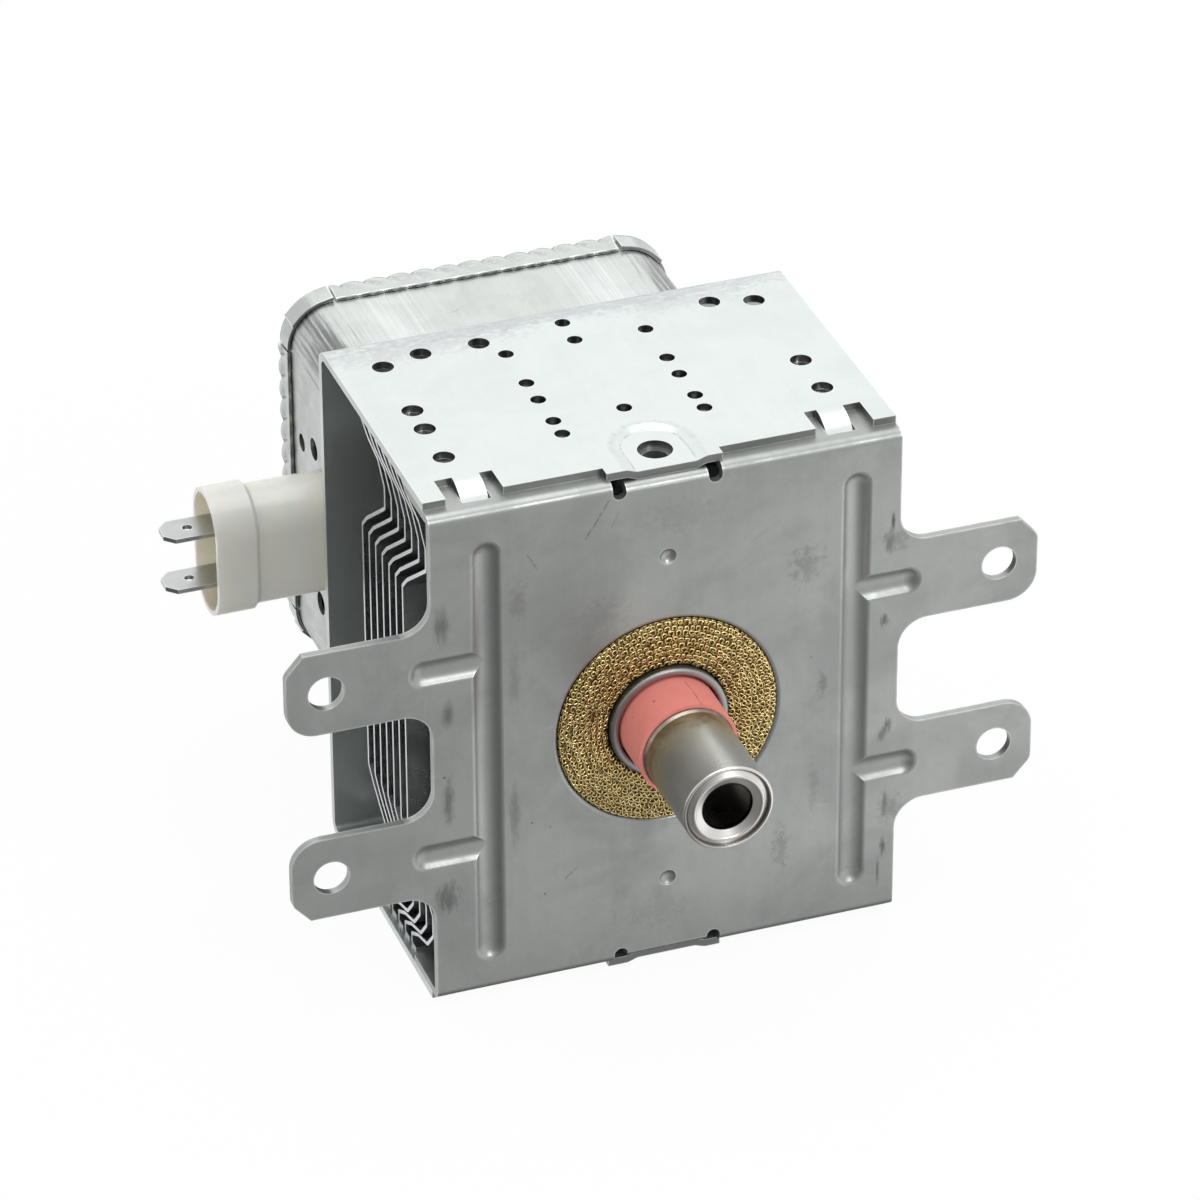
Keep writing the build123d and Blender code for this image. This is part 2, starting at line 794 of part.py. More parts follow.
# Output end ring: closes the ceramic's front and holds the exhaust tube and the cap
with BuildPart() as output_end_ring:
    with BuildSketch(REARWARD.offset(ceramic_front_y - end_ring_thickness)):
        Circle(cap_dia / 2 - cap_wall)
        Circle(exhaust_dia / 2, mode=Mode.SUBTRACT)
    extrude(amount=end_ring_thickness)
output_end_ring.part.label = "output_end_ring"
export_step(output_end_ring.part, "parts/output_end_ring.step")

# Exhaust tube: pinched shut on the antenna rod at its end
with BuildPart() as exhaust_tube:
    outer = exhaust_dia / 2
    inner = outer - exhaust_wall
    rod = antenna_rod_dia / 2
    tube_points = [
        (inner, ceramic_front_y),
        (outer, ceramic_front_y),
        (outer, exhaust_end_y + pinch_length),
        (rod + exhaust_wall / 2, exhaust_end_y),
        (0, exhaust_end_y),
        (0, exhaust_end_y + exhaust_wall),
        (rod, exhaust_end_y + exhaust_wall),
        (inner, exhaust_end_y + exhaust_wall + pinch_length),
    ]
    revolve(half_section(tube_points), axis=Axis.Y)
exhaust_tube.part.label = "exhaust_tube"
export_step(exhaust_tube.part, "parts/exhaust_tube.step")

# Antenna rod: from the first vane through the output pole piece to the exhaust tube
with BuildPart() as antenna_rod:
    with BuildLine():
        rod_path = FilletPolyline(
            (0, vane_front_y, antenna_takeoff_radius),
            (0, antenna_bend_rear_y, antenna_takeoff_radius),
            (0, antenna_bend_front_y, 0),
            (0, exhaust_end_y + exhaust_wall, 0),
            radius=antenna_bend_radius,
        )
    with BuildSketch(Plane(origin=rod_path @ 0, z_dir=rod_path % 0)):
        Circle(antenna_rod_dia / 2)
    sweep(path=rod_path)
antenna_rod.part.label = "antenna_rod"
export_step(antenna_rod.part, "parts/antenna_rod.step")

# Antenna cap: a drawn cup with a flared foot, a rolled rim and a funnel round its hole
with BuildPart() as antenna_cap:
    outer = cap_dia / 2
    inner = outer - cap_wall
    flare = cap_flare_dia / 2
    foot_y = ceramic_front_y
    rim_radius = outer - cap_rim_roll
    groove = cap_groove_dia / 2
    ridge = cap_ridge_dia / 2
    hole = cap_hole_dia / 2
    with BuildSketch(Plane.XY):
        with BuildLine():
            Polyline((flare, foot_y), (flare, foot_y - cap_wall), (outer, foot_y - 2 * cap_wall))
            Line((outer, foot_y - 2 * cap_wall), (outer, cap_rim_y + cap_rim_roll))
            TangentArc(
                (outer, cap_rim_y + cap_rim_roll), (rim_radius, cap_rim_y), tangent=(0, -1)
            )
            Polyline(
                (rim_radius, cap_rim_y),
                (groove, cap_rim_y + cap_groove_depth),
                (ridge + cap_ridge_round, cap_rim_y + cap_ridge_round / 4),
            )
            ThreePointArc(
                (ridge + cap_ridge_round, cap_rim_y + cap_ridge_round / 4),
                (ridge, cap_rim_y - cap_ridge_round / 4),
                (ridge - cap_ridge_round, cap_rim_y + cap_ridge_round / 4),
            )
            Polyline(
                (ridge - cap_ridge_round, cap_rim_y + cap_ridge_round / 4),
                (hole, cap_rim_y + cap_funnel_depth),
                (hole, cap_rim_y + cap_funnel_depth + cap_wall),
                (ridge, cap_rim_y + 2 * cap_wall),
                (inner, cap_rim_y + 2 * cap_wall),
                (inner, foot_y - 2 * cap_wall),
                (inner, foot_y),
                (flare, foot_y),
            )
        make_face()
    revolve(axis=Axis.Y)
antenna_cap.part.label = "antenna_cap"
export_step(antenna_cap.part, "parts/antenna_cap.step")


# End hats hold the filament between them
with BuildPart() as output_end_hat:
    with BuildSketch(REARWARD.offset(output_hat_y)):
        Circle(hat_dia / 2)
        Circle(lead_dia / 2, mode=Mode.SUBTRACT)
    extrude(amount=hat_thickness)
output_end_hat.part.label = "output_end_hat"
export_step(output_end_hat.part, "parts/output_end_hat.step")

with BuildPart() as cathode_end_hat:
    with BuildSketch(REARWARD.offset(cathode_hat_y)):
        Circle(hat_dia / 2)
        Circle(lead_dia / 2 + hat_clearance, mode=Mode.SUBTRACT)
    extrude(amount=hat_thickness)
cathode_end_hat.part.label = "cathode_end_hat"
export_step(cathode_end_hat.part, "parts/cathode_end_hat.step")

# Filament: a bare helix that just touches both hats
with BuildPart() as filament_coil:
    wire = filament_wire / 2
    coil_start_y = output_hat_y + hat_thickness + wire
    coil_length = cathode_hat_y - wire - coil_start_y
    with BuildLine():
        coil_path = Helix(
            pitch=filament_pitch,
            height=coil_length,
            radius=filament_radius,
            center=(0, coil_start_y, 0),
            direction=(0, 1, 0),
        )
    with BuildSketch(Plane(origin=coil_path @ 0, z_dir=coil_path % 0)):
        Circle(wire)
    sweep(path=coil_path, is_frenet=True)
filament_coil.part.label = "filament_coil"
export_step(filament_coil.part, "parts/filament_coil.step")

# Leads: straight inside the cathode, spread apart where they enter the stem's ceramic
with BuildPart() as centre_lead:
    with BuildLine():
        lead_path = FilletPolyline(
            (0, output_hat_y, 0),
            (0, lead_spread_front_y, 0),
            (0, lead_spread_rear_y, stem_terminal_z),
            (0, stem_ceramic_end_y, stem_terminal_z),
            radius=lead_bend_radius,
        )
    with BuildSketch(Plane(origin=lead_path @ 0, z_dir=lead_path % 0)):
        Circle(lead_dia / 2)
    sweep(path=lead_path)
centre_lead.part.label = "centre_lead"
export_step(centre_lead.part, "parts/centre_lead.step")

with BuildPart() as side_lead:
    with BuildLine():
        lead_path = FilletPolyline(
            (0, cathode_hat_y + hat_thickness, -side_lead_offset),
            (0, lead_spread_front_y, -side_lead_offset),
            (0, lead_spread_rear_y, -stem_terminal_z),
            (0, stem_ceramic_end_y, -stem_terminal_z),
            radius=lead_bend_radius,
        )
    with BuildSketch(Plane(origin=lead_path @ 0, z_dir=lead_path % 0)):
        Circle(lead_dia / 2)
    sweep(path=lead_path)
side_lead.part.label = "side_lead"
export_step(side_lead.part, "parts/side_lead.step")

# Stem ceramic: a cup that closes the cathode's seal cup, with a hole for each lead
with BuildPart() as stem_ceramic:
    with BuildSketch(REARWARD.offset(stem_ledge_y)):
        Circle(stem_ceramic_dia / 2)
    extrude(amount=stem_ceramic_end_y - stem_ledge_y)
    with BuildSketch(REARWARD.offset(stem_ledge_y)):
        Circle(stem_ceramic_dia / 2 - stem_ceramic_wall)
    extrude(amount=stem_ceramic_end_y - stem_ledge_y - stem_floor, mode=Mode.SUBTRACT)
    with BuildSketch(REARWARD.offset(stem_ledge_y)):
        with Locations((0, stem_terminal_z), (0, -stem_terminal_z)):
            Circle(lead_dia / 2)
    extrude(amount=stem_ceramic_end_y - stem_ledge_y, mode=Mode.SUBTRACT)
stem_ceramic.part.label = "stem_ceramic"
export_step(stem_ceramic.part, "parts/stem_ceramic.step")

# Stem terminals: a soldered cap over each lead with a pin for the choke's wire
for side, terminal_name in ((1, "stem_terminal_upper"), (-1, "stem_terminal_lower")):
    with BuildPart() as stem_terminal:
        with BuildSketch(REARWARD.offset(stem_ceramic_end_y)):
            with Locations((0, -side * stem_terminal_z)):
                Circle(stem_terminal_dia / 2)
        extrude(amount=stem_terminal_height)
        with BuildSketch(REARWARD.offset(stem_ceramic_end_y + stem_terminal_height)):
            with Locations((0, -side * stem_terminal_z)):
                Circle(stem_pin_dia / 2)
        extrude(amount=stem_pin_reach)
    stem_terminal.part.label = terminal_name
    export_step(stem_terminal.part, f"parts/{terminal_name}.step")


# The side view's plane, looking along -X from the box's left wall
PORT = Plane(origin=(port_x, port_y, 0), x_dir=(0, 1, 0), z_dir=(-1, 0, 0))


def obround(half_width, half_height):
    """Upright slot shape of the connector, centred on the port."""
    SlotOverall(2 * half_height, 2 * half_width, rotation=90)


def tab_section():
    """Cross section of both tabs, centred on the port."""
    with Locations((0, tab_spacing / 2), (0, -tab_spacing / 2)):
        Rectangle(tab_width, tab_thickness)


# Filter box: a drawn case, open to the rear, with holes for the stem and the port
with BuildPart() as filter_box:
    with BuildSketch(REARWARD.offset(box_front_y)):
        RectangleRounded(2 * box_half, 2 * box_half, box_corner_radius)
    extrude(amount=box_rear_y - box_front_y)
    with BuildSketch(REARWARD.offset(box_front_y + box_sheet)):
        RectangleRounded(
            2 * (box_half - box_sheet), 2 * (box_half - box_sheet), box_corner_radius - box_sheet
        )
    extrude(amount=box_rear_y - box_front_y - box_sheet, mode=Mode.SUBTRACT)
    with BuildSketch(REARWARD.offset(box_front_y)):
        Circle(box_hole_dia / 2)
    extrude(amount=box_sheet, mode=Mode.SUBTRACT)
    with BuildSketch(PORT.offset(-box_sheet - cut_over)):
        obround(spigot_half_width, spigot_half_height)
        for vent_inset, vent_z, vent_dia in wall_vents:
            with Locations((box_rear_y - vent_inset - port_y, -vent_z)):
                Circle(vent_dia / 2)
    extrude(amount=box_sheet + 2 * cut_over, mode=Mode.SUBTRACT)
filter_box.part.label = "filter_box"
export_step(filter_box.part, "parts/filter_box.step")


def scallop_run(half_side, growth):
    """One side of the crimp's outline, as a row of shallow outward arcs."""
    step = 2 * scallop_half_run / scallop_count
    for index in range(scallop_count):
        start = -scallop_half_run + index * step
        ThreePointArc(
            (start, half_side), (start + step / 2, half_side + growth), (start + step, half_side)
        )


# Cover: a flat lid with a skirt that is crimped round the case in shallow scallops
with BuildPart() as filter_box_cover:
    with BuildSketch(REARWARD.offset(crimp_front_y)):
        RectangleRounded(2 * cover_half, 2 * cover_half, box_corner_radius + cover_sheet)
    extrude(amount=box_rear_y + cover_sheet - crimp_front_y)
    for turn in range(4):
        side_plane = Plane(
            origin=(0, scallop_front_y, 0),
            x_dir=(cos(radians(90 * turn)), 0, sin(radians(90 * turn))),
            z_dir=(0, 1, 0),
        )
        with BuildSketch(side_plane):
            with BuildLine():
                scallop_run(cover_half, scallop_rise)
                Polyline(
                    (-scallop_half_run, cover_half),
                    (-scallop_half_run, box_half),
                    (scallop_half_run, box_half),
                    (scallop_half_run, cover_half),
                )
            make_face()
        extrude(amount=box_rear_y + cover_sheet - scallop_front_y)
    with BuildSketch(REARWARD.offset(crimp_front_y)):
        RectangleRounded(2 * box_half, 2 * box_half, box_corner_radius)
    extrude(amount=box_rear_y - crimp_front_y, mode=Mode.SUBTRACT)
filter_box_cover.part.label = "filter_box_cover"
export_step(filter_box_cover.part, "parts/filter_box_cover.step")

# Shroud: a moulded obround socket with a stepped rim, a floor and a spigot in the wall
with BuildPart() as feedthrough_shroud:
    rim_start = shroud_mouth_reach - shroud_rim_length
    with BuildSketch(PORT):
        obround(shroud_half_width, shroud_half_height)
    extrude(amount=shroud_mouth_reach)
    with BuildSketch(PORT.offset(rim_start)):
        obround(shroud_half_width + shroud_rim_growth, shroud_half_height + shroud_rim_growth)
    extrude(amount=shroud_rim_length)
    rim_back = (
        feedthrough_shroud.edges()
        .filter_by_position(Axis.X, port_x - rim_start - 0.01, port_x - rim_start + 0.01)
        .filter_by(
            lambda e: abs(e.center().Y - port_y) > shroud_half_width + shroud_rim_growth / 2
            or abs(e.center().Z) > shroud_half_height + shroud_rim_growth / 2
        )
    )
    chamfer(rim_back, length=shroud_chamfer)
    with BuildSketch(PORT.offset(shroud_floor)):
        obround(shroud_half_width - shroud_wall, shroud_half_height - shroud_wall)
    extrude(amount=rim_start - shroud_floor, mode=Mode.SUBTRACT)
    mouth_growth = shroud_rim_growth - shroud_lip + shroud_wall
    with BuildSketch(PORT.offset(rim_start)):
        obround(
            shroud_half_width - shroud_wall + mouth_growth,
            shroud_half_height - shroud_wall + mouth_growth,
        )
    extrude(amount=shroud_rim_length, mode=Mode.SUBTRACT)
    with BuildSketch(PORT):
        obround(spigot_half_width, spigot_half_height)
    extrude(amount=-shroud_spigot)
    with BuildSketch(PORT.offset(-shroud_spigot)):
        tab_section()
    extrude(amount=shroud_spigot + shroud_floor, mode=Mode.SUBTRACT)
feedthrough_shroud.part.label = "feedthrough_shroud"
export_step(feedthrough_shroud.part, "parts/feedthrough_shroud.step")

# Capacitor: a ceramic block behind the wall that both tabs pass through
with BuildPart() as feedthrough_capacitor:
    with BuildSketch(PORT.offset(-box_sheet)):
        obround(capacitor_half_width, capacitor_half_height)
    extrude(amount=-capacitor_length)
    with BuildSketch(PORT.offset(-box_sheet)):
        obround(spigot_half_width, spigot_half_height)
    extrude(amount=-(shroud_spigot - box_sheet), mode=Mode.SUBTRACT)
    with BuildSketch(PORT.offset(-box_sheet)):
        tab_section()
    extrude(amount=-capacitor_length, mode=Mode.SUBTRACT)
feedthrough_capacitor.part.label = "feedthrough_capacitor"
export_step(feedthrough_capacitor.part, "parts/feedthrough_capacitor.step")

# Tabs: flat blades with a chamfered tip and a small hole
for side, tab_name in ((1, "upper_tab"), (-1, "lower_tab")):
    with BuildPart() as terminal_tab:
        with BuildSketch(Plane.XY.offset(side * tab_spacing / 2)):
            half = tab_width / 2
            tip_x = port_x - tab_reach
            end_x = port_x + tab_inside_run
            with BuildLine():
                Polyline(
                    (end_x, port_y - half),
                    (tip_x + tab_chamfer, port_y - half),
                    (tip_x, port_y - half + tab_chamfer),
                    (tip_x, port_y + half - tab_chamfer),
                    (tip_x + tab_chamfer, port_y + half),
                    (end_x, port_y + half),
                    close=True,
                )
            make_face()
            with Locations((tip_x + tab_hole_inset, port_y)):
                Circle(tab_hole_dia / 2, mode=Mode.SUBTRACT)
        extrude(amount=tab_thickness / 2, both=True)
    terminal_tab.part.label = tab_name
    export_step(terminal_tab.part, f"parts/{tab_name}.step")


# Chokes: a ferrite rod in a coil of stout wire, from a tab to a terminal of the stem
for side, end_name in ((1, "upper"), (-1, "lower")):
    core_z = side * choke_z
    with BuildPart() as choke_core:
        with Locations((choke_centre_x, choke_y, core_z)):
            Cylinder(choke_core_dia / 2, choke_core_length, rotation=(0, 90, 0))
    choke_core.part.label = f"{end_name}_choke_core"
    export_step(choke_core.part, f"parts/{end_name}_choke_core.step")

    wire = choke_wire_dia / 2
    bare_wire = choke_bare_dia / 2
    coil_radius = choke_core_dia / 2 + wire + choke_clearance
    coil_half = (choke_turns + 0.5) * choke_pitch / 2
    on_tab_z = side * ((tab_spacing + tab_thickness) / 2 + bare_wire)
    on_pin_z = side * (stem_terminal_z + stem_pin_dia / 2 + bare_wire)
    pin_y = stem_ceramic_end_y + stem_terminal_height + stem_pin_reach / 2
    with BuildPart() as choke_coil:
        with BuildLine():
            coil_path = Helix(
                pitch=choke_pitch,
                height=2 * coil_half,
                radius=coil_radius,
                center=(choke_centre_x - coil_half, choke_y, core_z),
                direction=(1, 0, 0),
                lefthand=True,
            )
        with BuildSketch(Plane(origin=coil_path @ 0, z_dir=coil_path % 0)):
            Circle(wire)
        sweep(path=coil_path, is_frenet=True)
        # Both ends of the wire leave the coil towards the stem
        coil_start = coil_path @ 0
        coil_end = coil_path @ 1
        with BuildLine():
            tab_lead = FilletPolyline(
                coil_start + Vector(0, wire / 2, 0),
                (coil_start.X, port_y, coil_start.Z),
                (coil_start.X - choke_lead_run, port_y, on_tab_z),
                (port_x + tab_inside_run, port_y, on_tab_z),
                radius=choke_lead_bend,
            )
        with BuildSketch(Plane(origin=tab_lead @ 0, z_dir=tab_lead % 0)):
            Circle(bare_wire)
        sweep(path=tab_lead)
        with BuildLine():
            pin_lead = FilletPolyline(
                coil_end + Vector(0, wire / 2, 0),
                (coil_end.X, pin_y, coil_end.Z),
                (coil_end.X - choke_lead_run, pin_y, on_pin_z),
                (-stem_pin_dia, pin_y, on_pin_z),
                radius=choke_lead_bend,
            )
        with BuildSketch(Plane(origin=pin_lead @ 0, z_dir=pin_lead % 0)):
            Circle(bare_wire)
        sweep(path=pin_lead)
    choke_coil.part.label = f"{end_name}_choke_coil"
    export_step(choke_coil.part, f"parts/{end_name}_choke_coil.step")
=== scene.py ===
"""Looks of the magnetron: finishes, knitted gasket, crimped lid, light and camera.

Lengths are in metres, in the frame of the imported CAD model: the origin lies on the
antenna axis, on the mounting plate's outer face, with -Y along the antenna, +Y to the
filter box and +Z up. Tables of places and the arguments of mm() are in millimetres.
"""

from __future__ import annotations

import functools
import logging
import math
from collections.abc import Callable, Sequence
from dataclasses import dataclass
from enum import Enum
from typing import Union

import bmesh
import bpy
import numpy as np
from mathutils import Matrix, Vector


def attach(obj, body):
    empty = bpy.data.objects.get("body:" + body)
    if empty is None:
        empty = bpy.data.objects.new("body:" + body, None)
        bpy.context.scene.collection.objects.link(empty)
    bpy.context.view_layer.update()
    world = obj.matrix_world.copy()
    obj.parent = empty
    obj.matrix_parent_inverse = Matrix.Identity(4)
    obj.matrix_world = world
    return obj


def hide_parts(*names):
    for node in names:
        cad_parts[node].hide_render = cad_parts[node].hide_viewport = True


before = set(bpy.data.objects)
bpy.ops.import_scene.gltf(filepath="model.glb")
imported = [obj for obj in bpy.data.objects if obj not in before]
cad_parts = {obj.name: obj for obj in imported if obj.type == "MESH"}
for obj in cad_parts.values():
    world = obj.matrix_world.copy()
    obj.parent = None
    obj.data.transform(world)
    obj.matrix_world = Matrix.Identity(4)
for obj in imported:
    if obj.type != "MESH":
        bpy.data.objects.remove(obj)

LOG = logging.getLogger("magnetron")
MM = 0.001
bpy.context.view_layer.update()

GRAIN_HEIGHT = 0.02 * MM
WHITE = (1.0, 1.0, 1.0)
BARE_METAL = {"Metallic": 1.0}
SCALAR_RESULTS = ("DOT_PRODUCT", "LENGTH", "DISTANCE")

Node = bpy.types.Node
Socket = bpy.types.NodeSocket
Tree = bpy.types.NodeTree
Material = bpy.types.Material
Outputs = bpy.types.bpy_prop_collection
Colour = tuple[float, float, float]
Point = tuple[float, float, float]
Face = tuple[int, ...]
Feed = Union[float, Sequence[float], Socket]
NodeSpec = dict[Union[str, int], Feed]


def mm(*lengths: float) -> tuple[float, ...]:
    """Return lengths given in millimetres in metres."""
    return tuple(length * MM for length in lengths)


def grey(value: float) -> Colour:
    """Return a value three times, as a neutral colour or an even vector."""
    return (value, value, value)


def darker(colour: Colour, share: float) -> Colour:
    """Return a share of a colour."""
    return tuple(share * part for part in colour)


# Shader node tools


class Axis(Enum):
    """Direction in which a sheet was rolled or brushed."""

    X = 0
    Y = 1
    Z = 2

    def stretch(self, along: float, across: float) -> Point:
        """Return the scale of a noise that runs in streaks along this axis."""
        scale = [across] * 3
        scale[self.value] = along
        return tuple(scale)


class Graph:
    """A node tree of a material or a group, with short calls for common nodes."""

    def __init__(self, tree: Tree) -> None:
        """Take the tree to build in, which may already hold nodes."""
        self.tree = tree

    @classmethod
    def blank(cls, owner: Material | bpy.types.World) -> Graph:
        """Return the emptied node tree of a material or a world."""
        owner.use_nodes = True
        owner.node_tree.nodes.clear()
        return cls(owner.node_tree)

    def feed(self, node: Node, inputs: NodeSpec) -> None:
        """Set or link inputs of a node, each to a constant or to an output socket."""
        for key, value in inputs.items():
            socket = node.inputs[key]
            if isinstance(value, Socket):
                self.tree.links.new(value, socket)
            elif socket.type == "RGBA" and len(value) == 3:
                socket.default_value = (*value, 1.0)
            else:
                socket.default_value = value

    def add(self, kind: str, inputs: NodeSpec | None = None, **settings: object) -> Node:
        """Add one node, feed its inputs and set its own properties."""
        node = self.tree.nodes.new(kind)
        for name, value in settings.items():
            setattr(node, name, value)
        self.feed(node, inputs or {})
        return node

    def calc(self, operation: str, *values: Feed, clamp: bool = False) -> Socket:
        """Return the output of a Math node on one to three values."""
        inputs = dict(enumerate(values))
        return self.add("ShaderNodeMath", inputs, operation=operation, use_clamp=clamp).outputs[0]

    def product(self, *values: Feed) -> Socket:
        """Return the product of two or more values."""
        return functools.reduce(functools.partial(self.calc, "MULTIPLY"), values)

    def vector(self, operation: str, *values: Feed, scale: Feed | None = None) -> Socket:
        """Return the vector or value of a Vector Math node; scale is the factor of SCALE."""
        inputs = dict(enumerate(values))
        if scale is not None:
            inputs["Scale"] = scale
        outputs = self.add("ShaderNodeVectorMath", inputs, operation=operation).outputs
        return outputs["Value" if operation in SCALAR_RESULTS else "Vector"]

    def remap(
        self, value: Feed, low: Feed, high: Feed, to_low: float = 0.0, to_high: float = 1.0
    ) -> Socket:
        """Return a value eased from the range low to high to the range to_low to to_high."""
        ends = {
            "Value": value, "From Min": low, "From Max": high, "To Min": to_low, "To Max": to_high
        }
        return self.add("ShaderNodeMapRange", ends, interpolation_type="SMOOTHSTEP").outputs[0]

    def blend(self, share: Feed, first: Feed, second: Feed) -> Socket:
        """Return a colour between two colours."""
        inputs = {0: share, 6: first, 7: second}
        return self.add("ShaderNodeMix", inputs, data_type="RGBA").outputs[2]

    def cover(self, tint: Feed, mask: Feed, strength: float, tone: Feed) -> Socket:
        """Return a colour with a tone over it, where a mask shows it at a strength."""
        return self.blend(self.product(mask, strength), tint, tone)

    def noise(
        self, place: Feed, scale: float, detail: float = 3.0, roughness: float = 0.55
    ) -> Socket:
        """Return the value of a noise texture."""
        inputs = {"Vector": place, "Scale": scale, "Detail": detail, "Roughness": roughness}
        return self.add("ShaderNodeTexNoise", inputs).outputs["Fac"]

    def swirl(self, place: Feed, scale: float) -> Socket:
        """Return a noise's colour, which serves as a soft random vector."""
        inputs = {"Vector": place, "Scale": scale, "Detail": 2.0}
        return self.add("ShaderNodeTexNoise", inputs).outputs["Color"]

    def place(self) -> Socket:
        """Return the object's own coordinates, which are those of the CAD frame."""
        return self.add("ShaderNodeTexCoord").outputs["Object"]

    def split(self, vector: Feed) -> Outputs:
        """Return the outputs X, Y and Z of a vector."""
        return self.add("ShaderNodeSeparateXYZ", {0: vector}).outputs

    def axis_radius(self, place: Feed) -> Socket:
        """Return the distance of a place from the antenna's axis."""
        return self.vector("LENGTH", self.vector("MULTIPLY", place, (1.0, 0.0, 1.0)))

    def effect(self, group: Callable[[], Tree], **inputs: Feed) -> Socket:
        """Place a shared node group, feed its named inputs and return its mask."""
        return self.add("ShaderNodeGroup", inputs, node_tree=group()).outputs["Mask"]


def shared(**sockets: float | Point) -> Callable:
    """Make a decorator that turns the drawing of a mask into a node group.

    Args:
        sockets: The group's inputs, each with its start value.

    Returns:
        The decorator. Its result takes nothing and returns the group, built at the
        first call and named like the drawing.
    """

    def wrap(draw: Callable[[Graph, Outputs], Socket]) -> Callable[[], Tree]:
        """Wrap a drawing, which takes the group's graph and its inputs."""

        @functools.cache
        def group() -> Tree:
            """Return the node group."""
            tree = bpy.data.node_groups.new(draw.__name__, "ShaderNodeTree")
            for name, value in sockets.items():
                kind = "NodeSocketVector" if isinstance(value, tuple) else "NodeSocketFloat"
                socket = tree.interface.new_socket(name, in_out="INPUT", socket_type=kind)
                socket.default_value = value
            tree.interface.new_socket("Mask", in_out="OUTPUT", socket_type="NodeSocketFloat")
            graph = Graph(tree)
            given = graph.add("NodeGroupInput").outputs
            graph.add("NodeGroupOutput", {"Mask": draw(graph, given)})
            return tree

        return group

    return wrap


class Effects:
    """Shader node groups that several finishes share, each with one mask."""

    @staticmethod
    @shared(Width=0.0004, Breakup=0.4)
    def edge_wear_and_highlight(graph: Graph, given: Outputs) -> Socket:
        """Mark sharp edges within a width, broken up by a noise; the mask paints edge wear and a
        bright edge highlight.
        """
        rounded = graph.add("ShaderNodeBevel", {"Radius": given["Width"]}, samples=4).outputs[0]
        flat = graph.add("ShaderNodeNewGeometry").outputs["Normal"]
        edge = graph.remap(graph.vector("DOT_PRODUCT", rounded, flat), low=0.995, high=0.86)
        broken = graph.remap(graph.noise(graph.place(), scale=400.0), low=0.35, high=0.6)
        keep = graph.product(broken, given["Breakup"])
        rest = graph.calc("SUBTRACT", 1.0, given["Breakup"])
        return graph.calc("MULTIPLY", edge, graph.calc("ADD", rest, keep), clamp=True)

    @staticmethod
    @shared(Stretch=(60.0, 4000.0, 4000.0), Contrast=1.0)
    def streaks(graph: Graph, given: Outputs) -> Socket:
        """Draw fine streaks of rolling or brushing."""
        stretched = graph.vector("MULTIPLY", graph.place(), given["Stretch"])
        fine = graph.noise(stretched, scale=1.0, detail=4.0, roughness=0.6)
        wide = graph.noise(stretched, scale=0.22, detail=2.0, roughness=0.5)
        mean = graph.product(graph.calc("ADD", fine, wide), 0.5)
        centred = graph.product(graph.calc("SUBTRACT", mean, 0.5), given["Contrast"])
        return graph.calc("ADD", centred, 0.5, clamp=True)

    @staticmethod
    @shared(Scale=60.0, Low=0.4, High=0.65)
    def clouds(graph: Graph, given: Outputs) -> Socket:
        """Lay soft, warped blotches over a surface."""
        inputs = {
            "Vector": graph.place(), "Scale": given["Scale"],
            "Detail": 4.0, "Roughness": 0.62, "Distortion": 0.6,
        }
        warped = graph.add("ShaderNodeTexNoise", inputs).outputs["Fac"]
        return graph.remap(warped, given["Low"], given["High"])

    @staticmethod
    @shared(Centre=grey(0.0), Reach=grey(0.004), Ragged=0.5, Grain=grey(900.0))
    def rub_mark(graph: Graph, given: Outputs) -> Socket:
        """Draw one soft, ragged mark round a centre."""
        place = graph.place()
        away = graph.vector("SUBTRACT", place, given["Centre"])
        length = graph.vector("LENGTH", graph.vector("DIVIDE", away, given["Reach"]))
        grained = graph.vector("MULTIPLY", place, given["Grain"])
        noise = graph.noise(grained, scale=1.0, detail=5.0, roughness=0.68)
        ragged = graph.product(given["Ragged"], 3.0)
        pushed = graph.calc("MULTIPLY_ADD", graph.calc("SUBTRACT", noise, 0.5), ragged, length)
        return graph.remap(pushed, low=1.0, high=0.1)

    @staticmethod
    @shared(Start=grey(0.0), Run=(0.01, 0.0, 0.0), Width=0.0002)
    def hairline(graph: Graph, given: Outputs) -> Socket:
        """Draw one thin line between two places, unsteady and broken."""
        place, run = graph.place(), given["Run"]
        wander = graph.vector("SUBTRACT", graph.swirl(place, scale=400.0), grey(0.5))
        pushed = graph.vector("MULTIPLY_ADD", wander, grey(0.5 * MM), place)
        away = graph.vector("SUBTRACT", pushed, given["Start"])
        onto = graph.vector("DOT_PRODUCT", away, run)
        share = graph.calc("DIVIDE", onto, graph.vector("DOT_PRODUCT", run, run), clamp=True)
        off = graph.vector("DISTANCE", away, graph.vector("SCALE", run, scale=share))
        fall = graph.calc("DIVIDE", off, given["Width"])
        line = graph.calc("SUBTRACT", 1.0, fall, clamp=True)
        broken = graph.remap(graph.noise(place, scale=1300.0, detail=2.0), low=0.3, high=0.55)
        return graph.calc("MULTIPLY", line, broken, clamp=True)

    @staticmethod
    @shared(Scale=90.0, Amount=0.5)
    def scratches(graph: Graph, given: Outputs) -> Socket:
        """Draw sparse hairline scratches along warped cells."""
        place = graph.place()
        shift = graph.vector("SCALE", graph.swirl(place, scale=35.0), scale=20.0 * MM)
        inputs = {"Vector": graph.vector("ADD", place, shift), "Scale": given["Scale"]}
        cells = graph.add("ShaderNodeTexVoronoi", inputs, feature="DISTANCE_TO_EDGE")
        line = graph.remap(cells.outputs["Distance"], low=0.012, high=0.0)
        gate = graph.remap(graph.noise(place, scale=130.0, detail=2.0), low=0.56, high=0.66)
        return graph.calc("MULTIPLY", graph.product(line, gate), given["Amount"], clamp=True)


